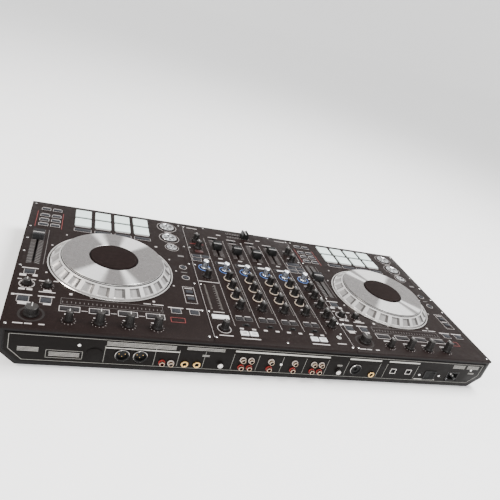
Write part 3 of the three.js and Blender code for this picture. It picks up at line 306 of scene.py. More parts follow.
PHONO_RED = Finish("phono_red", "circuit_board", (0.17, 0.01, 0.008), (0.23, 0.014, 0.011),
                   rough=(0.3, 0.4), bump=0.05)
PHONO_WHITE = Finish("phono_white", "circuit_board", (0.36, 0.31, 0.28), (0.44, 0.39, 0.35),
                     rough=(0.3, 0.4), bump=0.05)
SOCKET_BLACK = Finish("socket_black", "circuit_board", (0.006, 0.006, 0.006), (0.01, 0.01, 0.01),
                      rough=(0.3, 0.42), grain=1.0, bump=0.08, specular=0.08)
PHONO_SHELL = Finish("phono_shell", "circuit_board", (0.4, 0.3, 0.22), (0.48, 0.37, 0.28),
                     rough=(0.18, 0.3), metal=1.0, grain=1.0, bump=0.05)
ROCKER = Finish("rocker_black", "rocker_plastic", (0.004, 0.004, 0.004), (0.008, 0.008, 0.008),
                rough=(0.2, 0.3), bump=0.05, specular=0.06)
LIGHT = Finish("meter_light", "display_glass", (0.06, 0.055, 0.05), (0.1, 0.092, 0.085),
               rough=(0.3, 0.4))
LABEL_INK = Finish("label_ink", "rear_panel", (0.42, 0.41, 0.38), (0.26, 0.25, 0.23))
FLOOR = Finish("floor", "none", (0.93, 0.93, 0.93), (0.95, 0.95, 0.95), rough=(0.8, 0.9),
               grain=60.0, bump=0.02, glow=0.28)


class Shape:
    """A mesh that is shaped in edit mode, in millimetres, and then becomes a piece."""

    def __init__(self, name: str) -> None:
        """Starts an empty mesh and opens it for editing."""
        self.piece = bpy.data.objects.new(name, bpy.data.meshes.new(name))
        bpy.context.collection.objects.link(self.piece)
        bpy.ops.object.select_all(action="DESELECT")
        bpy.context.view_layer.objects.active = self.piece
        self.piece.select_set(True)
        bpy.ops.object.mode_set(mode="EDIT")

    def drop(self) -> None:
        """Deselects the whole mesh."""
        bpy.ops.mesh.select_all(action="DESELECT")

    def block(self, centre: Sequence[float], size: Sequence[float], tilt: float = 0.0) -> None:
        """Adds a block at its size and place, tilted about the Y axis by tilt radians."""
        self.drop()
        bpy.ops.mesh.primitive_cube_add(size=1.0, location=Vector(centre) * MM,
                                        rotation=(0.0, tilt, 0.0), scale=Vector(size) * MM)

    def tile(self, x: float, y: float, width: float, depth: float, z: float,
             turn: float = 0.0) -> None:
        """Adds a flat rectangle that faces up."""
        self.drop()
        place = Vector((x, y, z)) * MM
        bpy.ops.mesh.primitive_plane_add(size=MM, location=place)
        bpy.ops.transform.resize(value=(width, depth, 1.0), center_override=place)
        if turn:
            bpy.ops.transform.rotate(value=-turn, orient_axis="Z", center_override=place)

    def ring(self, x: float, y: float, radius: float, width: float, z: float,
             sides: int = 48) -> None:
        """Adds a flat ring that faces up, with its outer radius and its width."""
        self.drop()
        bpy.ops.mesh.primitive_circle_add(vertices=sides, radius=radius * MM, fill_type="NGON",
                                          location=Vector((x, y, z)) * MM)
        self.hollow(width)

    def box_frame(self, x: float, y: float, width: float, depth: float, line: float,
                  z: float) -> None:
        """Adds a flat rectangular frame that faces up."""
        self.tile(x, y, width, depth, z)
        self.hollow(line)

    def turned(self, centre: Sequence[float], profile: Sequence[Point], sides: int,
               along_y: bool = False) -> None:
        """Adds a turned solid from a disc that is extruded and scaled step by step.

        Args:
            centre: The point on the axis that the profile's heights are counted from.
            profile: (radius, height) points from the base's rim to the top's rim.
            sides: Number of sides.
            along_y: Whether the axis runs along +Y instead of +Z.
        """
        self.drop()
        axis = Vector((0.0, 1.0, 0.0)) if along_y else Vector((0.0, 0.0, 1.0))
        base = Vector(centre)
        radius, height = profile[0]
        bpy.ops.mesh.primitive_circle_add(
            vertices=sides, radius=radius * MM, fill_type="NGON",
            location=(base + axis * height) * MM,
            rotation=(-math.pi / 2, 0.0, 0.0) if along_y else (0.0, 0.0, 0.0))
        for new_radius, new_height in profile[1:]:
            self.push(axis * (new_height - height))
            if new_radius != radius:
                k = new_radius / radius
                bpy.ops.transform.resize(
                    value=(k, 1.0, k) if along_y else (k, k, 1.0),
                    center_override=(base + axis * new_height) * MM)
            radius, height = new_radius, new_height

    def pick(self, test: Callable[[Vector, Vector], bool]) -> None:
        """Selects the faces whose centre (in millimetres) and normal pass the test."""
        bpy.ops.mesh.select_mode(type="FACE")
        mesh = bmesh.from_edit_mesh(self.piece.data)
        for face in mesh.faces:
            face.select_set(test(face.calc_center_median() / MM, face.normal))
        bmesh.update_edit_mesh(self.piece.data)

    def pick_edges(self, test: Callable[[Vector, Vector], bool]) -> None:
        """Selects the edges whose middle (in millimetres) and direction pass the test."""
        self.drop()
        bpy.ops.mesh.select_mode(type="EDGE")
        mesh = bmesh.from_edit_mesh(self.piece.data)
        for edge in mesh.edges:
            start, end = (vertex.co / MM for vertex in edge.verts)
            edge.select_set(test((start + end) / 2, (end - start).normalized()))
        bmesh.update_edit_mesh(self.piece.data)

    def push(self, way: Sequence[float]) -> None:
        """Extrudes the selection by a step in millimetres."""
        bpy.ops.mesh.extrude_region_move(TRANSFORM_OT_translate={"value": Vector(way) * MM})

    def inset(self, width: float, depth: float = 0.0, each: bool = False) -> None:
        """Insets the selected faces, together or each by itself."""
        bpy.ops.mesh.inset(thickness=width * MM, depth=depth * MM, use_individual=each)

    def hollow(self, line: float) -> None:
        """Leaves only a border of the selected faces."""
        self.inset(line)
        bpy.ops.mesh.delete(type="FACE")

    def bevel(self, width: float, steps: int = 2) -> None:
        """Bevels the selected edges."""
        bpy.ops.mesh.bevel(offset=width * MM, segments=steps, affect="EDGES")

    def sheet(self, node: str, z: float, thickness: float) -> None:
        """Adds a slab as wide and as deep as a CAD node."""
        low, high = spot(node)
        self.block((*middle(node), z), (high.x - low.x, high.y - low.y, thickness))

    def sink(self, depth: float) -> None:
        """Moves the corners of the selected faces inward along their normals."""
        bpy.ops.transform.shrink_fatten(value=-depth * MM)

    def round_edges(self, width: float, steps: int = 2, foot: float = -1.0e9) -> None:
        """Bevels the upright edges, and the edges that lie above a height."""
        self.pick_edges(lambda centre, way: centre.z > foot or abs(way.z) > 0.8)
        self.bevel(width, steps)

    def thicken(self, depth: float) -> None:
        """Gives every flat mark its thickness."""
        bpy.ops.mesh.select_mode(type="FACE")
        bpy.ops.mesh.select_all(action="SELECT")
        self.push((0.0, 0.0, depth))

    def outward(self) -> None:
        """Turns all faces outward."""
        bpy.ops.mesh.select_all(action="SELECT")
        bpy.ops.mesh.normals_make_consistent(inside=False)

    def close(self) -> None:
        """Turns the faces outward and leaves edit mode."""
        self.outward()
        bpy.ops.object.mode_set(mode="OBJECT")

    def carve(self, cutter: "Shape") -> None:
        """Cuts another shape out of this one, and removes the cutter."""
        cutter.close()
        bpy.ops.object.select_all(action="DESELECT")
        bpy.context.view_layer.objects.active = self.piece
        self.piece.select_set(True)
        cut = self.piece.modifiers.new("openings", "BOOLEAN")
        cut.operation, cut.solver, cut.object = "DIFFERENCE", "EXACT", cutter.piece
        bpy.ops.object.modifier_apply(modifier=cut.name)
        bpy.data.objects.remove(cutter.piece)

    def done(self, finishes: Sequence[Finish], body: str = CHASSIS,
             which: Callable[[Vector], int] | None = None, angle: float = 32.0,
             replaces: Sequence[str] = ()) -> bpy.types.Object:
        """Ends the shaping, and gives the piece its finishes and its body.

        Args:
            finishes: The main finish, and further ones where the piece has them.
            body: The body that the piece rides on.
            which: The number of the finish for a face centre in millimetres.
            angle: Edges flatter than this, in degrees, are shaded smooth.
            replaces: CAD nodes that the piece stands for.

        Returns:
            The finished object.
        """
        if self.piece.mode == "EDIT":
            self.close()
        bpy.ops.object.shade_smooth_by_angle(angle=math.radians(angle))
        for finish in finishes:
            self.piece.data.materials.append(finish.material())
        if which:
            for polygon in self.piece.data.polygons:
                polygon.material_index = int(which(polygon.center / MM))
        return enrol(self.piece, body, replaces)


def enrol(piece: bpy.types.Object, body: str,
          replaces: Sequence[str] = ()) -> bpy.types.Object:
    """Lets a piece ride on its body and logs it.

    Args:
        piece: The finished object.
        body: The body that it rides on.
        replaces: CAD nodes that the piece stands for.

    Returns:
        The same object.
    """
    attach(piece, body)
    if replaces:
        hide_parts(*replaces)
    log.info("%s rides on %s with %d faces", piece.name, body, len(piece.data.polygons))
    return piece


def copy_to(source: bpy.types.Object, name: str, shift: Sequence[float]) -> bpy.types.Object:
    """Copies a modelled piece to another place.

    Args:
        source: The object to copy.
        name: The copy's name.
        shift: How far the copy lies from the source, in millimetres.

    Returns:
        The new object, at the origin with its place in its own mesh.
    """
    piece = source.copy()
    piece.data = source.data.copy()
    piece.name = piece.data.name = name
    piece.parent = None
    piece.matrix_world = Matrix.Identity(4)
    for key in [key for key in piece.keys() if key.startswith("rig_")]:
        del piece[key]
    bpy.context.collection.objects.link(piece)
    piece.data.transform(Matrix.Translation(Vector(shift) * MM))
    return piece


def spot(node: str) -> tuple[Vector, Vector]:
    """A CAD node's lowest and highest corner, in millimetres."""
    low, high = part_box(node)
    return low / MM, high / MM


def middle(node: str) -> Point:
    """The middle of a CAD node in plan, in millimetres."""
    low, high = spot(node)
    return (low.x + high.x) / 2, (low.y + high.y) / 2


def reach(centre: Vector, x: float, y: float) -> float:
    """How far a point lies from (x, y) in plan."""
    return math.hypot(centre.x - x, centre.y - y)


def beside(keys: Sequence[Box], rise: float, width: float, depth: float) -> list[Mark]:
    """Bars (x, y, width, depth) that lie this far to the rear of keys."""
    return [(x, y + rise, width, depth) for x, y, *_ in keys]


def around(keys: Sequence[Box], wider: float, deeper: float, line: float) -> list[Mark]:
    """Outlined boxes (x, y, width, depth, line) round keys."""
    return [(x, y, width + wider, depth + deeper, line) for x, y, width, depth in keys]


@dataclass
class Camera:
    """The photograph's viewpoint, found by fitting a camera to the top and the jog rings."""

    place: Place = (374.89, 810.0, 537.98)
    right: Place = (-0.92711908, 0.24606368, 0.28267098)
    down: Place = (-0.13362776, 0.48763316, -0.86276157)
    ahead: Place = (-0.35013403, -0.8376554, -0.41921306)
    lens: float = 36.29
    sensor: float = 36.0

    def build(self) -> None:
        """Makes the camera and hands it to the scene."""
        data = bpy.data.cameras.new("camera")
        data.lens, data.sensor_width, data.clip_end = self.lens, self.sensor, 100.0
        camera = bpy.data.objects.new("camera", data)
        bpy.context.collection.objects.link(camera)
        right, up, back = Vector(self.right), -Vector(self.down), -Vector(self.ahead)
        turn = Matrix((right, up, back)).transposed().to_4x4()
        camera.matrix_world = Matrix.Translation(Vector(self.place) * MM) @ turn
        bpy.context.scene.camera = camera


@dataclass
class Studio:
    """Pale floor that bends up into a wall, soft lights and a light grey surround."""

    floor_size: float = 14000.0
    wall_height: float = 5000.0
    wall_bend: float = 2500.0
    surround: float = 0.98
    sky: Colour = (1.0, 1.0, 1.0)
    lamps: tuple[tuple[str, Sequence[float], float, float, Colour], ...] = (
        ("key", (-900.0, -200.0, 2300.0), 1100.0, 125.0, (1.0, 1.0, 1.0)),
        ("side", (2200.0, 300.0, 1500.0), 700.0, 55.0, (1.0, 0.93, 0.86)),
        ("rear_fill", (500.0, 2300.0, 1300.0), 1200.0, 45.0, (1.0, 1.0, 1.0)))

    def lamp(self, name: str, place: Sequence[float], size: float, power: float,
             colour: Colour) -> None:
        """Hangs a square soft light that faces the middle of the unit."""
        data = bpy.data.lights.new(name, "AREA")
        data.size, data.energy, data.color = size * MM, power, colour
        lamp = bpy.data.objects.new(name, data)
        bpy.context.collection.objects.link(lamp)
        lamp.location = Vector(place) * MM
        lamp.rotation_euler = (-lamp.location).to_track_quat("-Z", "Y").to_euler()

    def build(self) -> None:
        """Makes the floor, the surround and the lights."""
        edge = 1.0 - self.floor_size / 2
        cove = Shape("floor")
        cove.tile(0.0, 0.0, self.floor_size, self.floor_size, -0.2)
        cove.pick_edges(lambda centre, way: min(centre.x, centre.y) < edge)
        cove.push((0.0, 0.0, self.wall_height))
        cove.pick_edges(lambda centre, way: centre.z < 0.0 and min(centre.x, centre.y) < edge)
        cove.bevel(self.wall_bend, 10)
        bpy.ops.object.mode_set(mode="OBJECT")
        bpy.ops.object.shade_smooth_by_angle(angle=math.radians(40.0))
        cove.piece.data.materials.append(FLOOR.material())
        world = bpy.data.worlds.new("surround")
        world.use_nodes = True
        back = world.node_tree.nodes["Background"]
        back.inputs["Color"].default_value = (*self.sky, 1.0)
        back.inputs["Strength"].default_value = self.surround
        bpy.context.scene.world = world
        for lamp in self.lamps:
            self.lamp(*lamp)


# A deck's places: x in shares of its width from the jog's middle, y in shares of the top's depth
EFFECT_X = (-0.211, -0.0703, 0.0703, 0.211)
EFFECT_KEY_Y = 0.3749
SQUARE_KEYS = ((-0.43, 0.3242), (-0.329, 0.3242), (0.3238, 0.3363), (0.428, 0.3363),
               (0.4248, 0.1519))
GROUP_KEYS = ((-0.43, 0.2266), (-0.43, 0.176))
ROUND_KEYS = ((-0.432, 0.0603), (-0.432, -0.0289))
SHIFT = (-0.3896, -0.2073)
PAD_MIDDLE = (-0.0125, -0.3828)
MODE_KEY_Y = -0.2555
BLOCK_X = (0.3401, 0.4085)
BLOCK_Y = (-0.2628, -0.311, -0.3592, -0.4267)
SMALL_KNOBS = ((0.327, 0.241), (0.4248, 0.2375))
TEMPO = (0.4202, -0.0627)
PAD_PITCH = 38.5
PAD_SIZE = 31.0
KEY_SIZES = {"effect": (27.0, 9.0), "square": (15.0, 11.5), "group": (13.0, 8.5),
             "mode": (30.0, 8.5), "block": (15.0, 7.5)}
SLOT_WIDTH = 2.2


@dataclass
class TopPlate:
    """A painted top plate with its openings, front bevel and rear lip."""

    name: str
    node: str
    bevel: float = 6.1
    gap: float = 0.45
    lip: float = 2.0
    lip_wall: float = 1.1
    softness: float = 0.35

    def build(self, boxes: Sequence[Box],
              rounds: Sequence[tuple[float, float, float, int]] = ()) -> None:
        """Builds the plate.

        Args:
            boxes: (x, y, width, depth) of each rectangular opening.
            rounds: (x, y, radius, sides) of each round opening.
        """
        low, high = spot(self.node)
        centre_x, wide, front = (low.x + high.x) / 2, high.x - low.x, low.y + self.bevel
        half_way = TOP - PLATE / 2
        plate = Shape(self.name)
        plate.block((centre_x, (front + high.y) / 2, half_way), (wide, high.y - front, PLATE))
        plate.pick(lambda centre, normal: normal.y < -0.9)
        plate.push((0.0, -self.bevel, -self.bevel))
        plate.pick_edges(lambda centre, way: centre.z > TOP - 0.01)
        plate.bevel(self.softness)
        plate.block((centre_x, high.y - self.lip_wall / 2, TOP - PLATE - self.lip / 2 - 0.02),
                    (wide, self.lip_wall, self.lip))
        plate.close()
        cutter = Shape(self.name + "_cutter")
        for x, y, width, depth in boxes:
            cutter.block((x, y, half_way),
                         (width + 2 * self.gap, depth + 2 * self.gap, 4 * PLATE))
        for x, y, radius, sides in rounds:
            radius += self.gap
            cutter.turned((x, y, half_way), ((radius, -2 * PLATE), (radius, 2 * PLATE)), sides)
        plate.carve(cutter)
        plate.done((PAINT,), replaces=(self.node,))


@dataclass
class Knob:
    """A fluted rubber knob with a skirt and a pointer line."""

    name: str
    x: float
    y: float
    base: float
    top: float
    height: float
    flutes: int = 18
    finish: Finish = RUBBER
    cap: Finish = KNOB_CAP
    foot: float = 0.6
    skirt: float = 3.2
    dish: float = 0.35
    groove: Point = (0.15, 0.45)
    line: float = 1.2
    line_foot: float = 5.2

    def build(self, body: str, replaces: Sequence[str] = ()) -> bpy.types.Object:
        """Builds the knob.

        Args:
            body: The body that it rides on.
            replaces: CAD nodes that it stands for.

        Returns:
            The knob.
        """
        x, y, foot, skirt, top, high = self.x, self.y, self.foot, self.skirt, self.top, self.height
        sides, face = 2 * self.flutes, high - self.dish
        profile = ((self.base - 0.4, foot), (self.base, foot + 0.4), (self.base - 0.2, foot + 1.5),
                   (top + 1.0, skirt), (top + 0.6, skirt + 0.8), (top, high - 1.2),
                   (top - 0.35, high - 0.4), (top - 1.0, high), (top - 1.5, face))
        shape = Shape(self.name)
        shape.turned((x, y, TOP), profile, sides)
        grip = TOP + (skirt + 0.8 + high - 1.2) / 2

        def flute(centre: Vector, normal: Vector) -> bool:
            """Every other face of the grip."""
            turn = math.atan2(centre.y - y, centre.x - x) * sides / (2 * math.pi)
            return abs(centre.z - grip) < 1.0 and abs(normal.z) < 0.5 and math.floor(turn) % 2 == 0

        shape.pick(flute)
        width, depth = self.groove
        shape.inset(width, -depth, each=True)
        length = top + 0.3
        shape.block((x, y - length / 2, TOP + high - 0.3), (self.line, length, 0.8))
        shape.block((x, y - top - 0.1, TOP + (self.line_foot + high) / 2),
                    (self.line, 0.9, high - self.line_foot))

        def which(centre: Vector) -> int:
            """0 for the rubber, 1 for the pointer line, 2 for the cap."""
            line = (abs(centre.x - x) < 0.65 and centre.y < y + 0.1
                    and (centre.z > TOP + high - 0.1 or centre.y < y - top - 0.1)
                    and centre.z > TOP + skirt + 0.9)
            disc = centre.z > TOP + face - 0.02 and reach(centre, x, y) < top - 1.1
            return 1 if line else 2 if disc else 0

        return shape.done((self.finish, MARK, self.cap), body, which, replaces=replaces)


@dataclass
class Collars:
    """Raised light rings round the feet of a group of knobs."""

    name: str
    finish: Finish
    inner: float = 8.2
    outer: float = 9.4
    rise: float = 1.3

    def build(self, places: Sequence[Point]) -> None:
        """Builds a ring at each place."""
        shape = Shape(self.name)
        for x, y in places:
            shape.ring(x, y, self.outer, self.outer - self.inner, TOP - 0.1, 40)
        shape.thicken(self.rise)
        shape.pick_edges(lambda centre, way: centre.z > TOP + self.rise - 0.2
                         and abs(way.z) < 0.1)
        shape.bevel(0.3)
        shape.done((self.finish,), angle=60.0)


@dataclass
class JogWheel:
    """A jog wheel with its ring, cup and display."""

    side: str
    wheel: float = 103.2
    skirt_foot: float = 3.6
    skirt_top: Point = (89.4, 16.2)
    dimples: int = 24
    steps: int = 10
    dimple_steps: int = 7
    skirt_rows: Floats = (0.03, 0.12, 0.45, 0.79, 0.9)
    dimple_sinks: tuple[tuple[int, float], ...] = ((1, 1.2), (2, 0.75), (3, 0.3))
    # Middle angle and half width of each painted highlight wedge, one set for each wheel
    lobes: tuple[tuple[Point, ...], ...] = (((84.0, 28.0), (131.0, 3.0)),
                                            ((59.5, 13.5), (109.5, 4.0)))
    well: float = 41.8
    bore: float = 13.2
    display: float = 40.2

    @property
    def sides(self) -> int:
        """Number of sides of the wheel."""
        return self.dimples * self.steps

    def step(self, centre: Vector, x: float, y: float) -> int:
        """A face's place in the row of steps that a dimple and its gap take up."""
        turn = math.atan2(centre.y - y, centre.x - x) / (2 * math.pi)
        return math.floor(turn * self.sides) % self.steps

    def build(self) -> None:
        """Builds the wheel, its base and its display."""
        wheel_node = f"{self.side}_jog_wheel"
        x, y = middle(wheel_node)
        self.build_wheel(wheel_node, x, y)
        self.build_base(x, y)
        self.build_display(x, y)

    def build_wheel(self, node: str, x: float, y: float) -> None:
        """Turns the wheel and presses the finger dimples into its skirt."""
        wide, foot, (top_r, top_z), well = self.wheel, self.skirt_foot, self.skirt_top, self.well
        edge = [(wide + (top_r - wide) * t, foot + (top_z - foot) * t) for t in self.skirt_rows]
        profile = ((100.8, 1.0), (wide - 0.4, 1.0), (wide, 1.4), (wide, 3.2), (wide - 0.1, foot),
                   *edge, (top_r, top_z), (88.9, 16.6), (88.3, 16.6), (88.2, 15.0), (87.1, 15.0),
                   (87.0, 17.6), (86.7, 18.1), (86.0, 18.1), (85.9, 19.5), (86.3, 19.6),
                   (86.3, 20.1), (85.8, 20.5), (well + 0.6, 20.5), (well, 20.0), (well, 18.0))
        shape = Shape(node + "_spun")
        shape.turned((x, y, TOP), profile, self.sides)
        shape.outward()
        low_z, high_z = TOP + edge[1][1], TOP + edge[-2][1]
        for margin, depth in self.dimple_sinks:

            def hollow(centre: Vector, normal: Vector) -> bool:
                """Whether a face of the skirt lies in a dimple, this far from its sides."""
                return (reach(centre, x, y) > top_r and low_z < centre.z < high_z
                        and normal.z > 0.3
                        and margin <= self.step(centre, x, y) < self.dimple_steps - margin)

            shape.pick(hollow)
            shape.sink(depth)

        def web(centre: Vector, normal: Vector) -> bool:
            """Whether a face is one of the wheel's two flat discs."""
            return abs(normal.z) > 0.99 and reach(centre, x, y) < 1.0

        shape.pick(web)
        shape.inset(well - self.bore)
        shape.done((SKIRT_METAL, self.spun(x, y), CUP_BLACK, SHADOWED_DIMPLE_WALL, SHADED_DIMPLE), node,
                   lambda centre: self.zone(centre, x, y), angle=21.0, replaces=(node,))

    def zone(self, centre: Vector, x: float, y: float) -> int:
        """0 for the skirt, 1 platter, 2 grooves and underside, 3 dimple walls in painted shadow, 4
        the dimples' other faces in painted shade.
        """
        far, high, step = reach(centre, x, y), centre.z - TOP, self.step(centre, x, y)
        dimple = far > 90.0 and 4.0 < high < 15.0 and step < self.dimple_steps
        platter = high > 20.2 and far > self.well
        groove = 18.2 < high < 19.54 and 80.0 < far < 86.05
        moat = high < 17.0 and 86.9 < far < 88.1
        if dimple:
            # One side wall and the top row of each dimple get painted shadow; its other faces get
            # painted shade
            return 3 if step > self.dimple_steps - 3 or high > 13.7 else 4
        if platter:
            return 1
        return 2 if groove or moat or high < 1.1 or far < 42.0 else 0

    def spun(self, x: float, y: float) -> Finish:
        """The platter's finish, with its painted highlight wedges centred on this wheel."""
        return replace(SPIN_METAL, name=f"{self.side}_spun_aluminium", centre=(x, y),
                       lobes=self.lobes[SIDES.index(self.side)])

    def build_base(self, x: float, y: float) -> None:
        """Turns the silver ring and the dark cup below it."""
        shape = Shape(f"{self.side}_jog_cup")
        shape.turned((x, y, TOP), (
            (105.3, -16.0), (105.3, 0.3), (107.9, 0.3), (107.9, 2.2), (107.2, 3.0),
            (105.9, 3.0), (105.3, 2.4), (104.6, 0.2), (103.4, -14.0)), 160)
        shape.done((RING_METAL, CUP_BLACK), CHASSIS,
                   lambda centre: centre.z < (TOP + 1.2 if reach(centre, x, y) < 105.2 else TOP),
                   replaces=(f"{self.side}_jog_base",))

    def build_display(self, x: float, y: float) -> None:
        """Turns the round display."""
        shape = Shape(f"{self.side}_jog_glass")
        r = self.display
        shape.turned((x, y, TOP), ((r, 18.6), (r, 21.2), (r - 0.3, 21.7), (r - 0.9, 22.0),
                                   (r - 3.0, 22.0), (r - 3.2, 21.85)), 96)
        shape.done((GLASS,), CHASSIS, replaces=(f"{self.side}_jog_display",))


@dataclass
class Fader:
    """A fader cap with a waisted finger grip, a centre line and a flat stem."""

    node: str
    width: float
    length: float
    height: float
    finish: Finish
    across: bool = False
    foot: float = 1.2
    softness: float = 0.5
    line: Point = (1.4, 0.5)
    waist: float = 0.79
    stem: Place = (7.0, 1.4, 9.0)
    rows: tuple[Point, ...] = ((-0.5, 0.08), (-0.44, 0.82), (-0.36, 0.97), (-0.22, 0.93),
                               (-0.09, 0.8), (-0.03, 0.79), (0.03, 0.79), (0.09, 0.8),
                               (0.22, 0.93), (0.36, 0.97), (0.44, 0.82), (0.5, 0.08))

    def laid(self, along: float, aside: float, high: float) -> Place:
        """A size along the cap, across it and upright, in X, Y and Z."""
        return (along, aside, high) if self.across else (aside, along, high)

    def build(self) -> None:
        """Extrudes an upright slice along the cap, row by row, to the grip's outline."""
        x, y = middle(self.node)
        foot = TOP + self.foot
        ahead = Vector(self.laid(1.0, 0.0, 0.0))
        share, rise = self.rows[0]
        start = Vector((x, y, foot + rise * self.height / 2)) + ahead * (share * self.length)
        shape = Shape(self.node + "_cap")
        bpy.ops.mesh.primitive_plane_add(
            size=MM, location=start * MM,
            rotation=(math.pi / 2, 0.0, math.pi / 2 if self.across else 0.0))
        bpy.ops.transform.resize(value=self.laid(1.0, self.width, rise * self.height),
                                 center_override=start * MM)
        for next_share, next_rise in self.rows[1:]:
            shape.push(ahead * ((next_share - share) * self.length))
            bpy.ops.transform.resize(value=(1.0, 1.0, next_rise / rise),
                                     center_override=Vector((x, y, foot)) * MM)
            share, rise = next_share, next_rise
        shape.pick_edges(lambda centre, way: centre.z > foot + 1.0 and abs(way.dot(ahead)) > 0.15)
        shape.bevel(self.softness)
        line, thick = self.line
        line_z = foot + self.waist * self.height
        shape.block((x, y, line_z), self.laid(line, self.width + 0.1, thick))
        shape.block((x, y, TOP - 3.4), self.laid(*self.stem))

        def second(centre: Vector) -> bool:
            """Whether a face belongs to the centre line."""
            along = centre.x - x if self.across else centre.y - y
            return abs(along) < 0.75 and centre.z > line_z - 0.3

        shape.done((self.finish, MARK), self.node, second, replaces=(self.node,))


@dataclass
class KeyBed:
    """Key tops of one finish, with rounded edges and stems down to their carrier."""

    name: str
    body: str
    finish: Finish
    rise: float = 1.4
    foot: float = -8.0
    softness: float = 0.45

    def build(self, keys: Sequence[Box], replaces: Sequence[str] = ()) -> None:
        """Builds the keys.

        Args:
            keys: (x, y, width, depth) of each key.
            replaces: CAD nodes that they stand for.
        """
        shape = Shape(self.name)
        for x, y, width, depth in keys:
            shape.block((x, y, TOP + (self.rise + self.foot) / 2),
                        (width, depth, self.rise - self.foot))
        shape.round_edges(self.softness, foot=TOP + self.rise - 0.2)
        shape.done((self.finish,), self.body, replaces=replaces)


@dataclass
class KeySheet:
    """The sheet that carries keys, as wide and as deep as their CAD node."""

    name: str
    body: str
    depth: float = 9.8
    thickness: float = 1.6

    def build(self) -> None:
        """Builds the sheet."""
        shape = Shape(self.name)
        shape.sheet(self.body, TOP - self.depth, self.thickness)
        shape.done((KEY_DARK,), self.body)


@dataclass
class ChromeButton:
    """A turned chrome button with painted highlight wedges inside a plain rim."""

    name: str
    body: str
    x: float
    y: float
    profile: tuple[Point, ...]
    sides: int
    rim: float

    def build(self, finish: str, replaces: Sequence[str] = ()) -> None:
        """Turns the button.

        Args:
            finish: The name of its own finish, whose painted highlight wedges are centred on it.
            replaces: CAD nodes that it stands for.
        """
        shape = Shape(self.name)
        shape.turned((self.x, self.y, TOP), self.profile, self.sides)
        wedged = replace(CHROME, name=finish, centre=(self.x, self.y))
        shape.done((wedged, RIM_CHROME), self.body,
                   lambda centre: reach(centre, self.x, self.y) > self.rim, replaces=replaces)


@dataclass
class Print:
    """Flat marks of one ink on the top plates or on a moving piece."""

    name: str
    ink: Finish
    z: float = TOP
    body: str = CHASSIS

    def build(self, tiles: Sequence[Mark] = (), frames: Sequence[Mark] = (),
              rings: Sequence[Mark] = (), depth: float = INK) -> None:
        """Lays the marks and gives them their thickness.

        Args:
            tiles: (x, y, width, depth) and, where it is turned, an angle in radians.
            frames: (x, y, width, depth, line) of each outlined box.
            rings: (x, y, radius, width) of each ring.
            depth: Thickness of the ink.
        """
        shape = Shape(self.name)
        for tile in tiles:
            shape.tile(*tile[:4], self.z, *tile[4:])
        for box in frames:
            shape.box_frame(*box, self.z)
        for ring in rings:
            shape.ring(*ring, self.z)
        shape.thicken(depth)
        shape.done((self.ink,), self.body)


# Number, length and width of the marks round a knob
TICKS = (11, 1.3, 0.6)


def ticks(x: float, y: float, radius: float) -> list[Mark]:
    """Marks (x, y, width, depth, turn) round a knob over its 300 degrees."""
    count, length, width = TICKS
    turns = [math.radians(-60.0 + 300.0 * i / (count - 1)) for i in range(count)]
    return [(x + radius * math.cos(turn), y + radius * math.sin(turn), length, width, turn)
            for turn in turns]


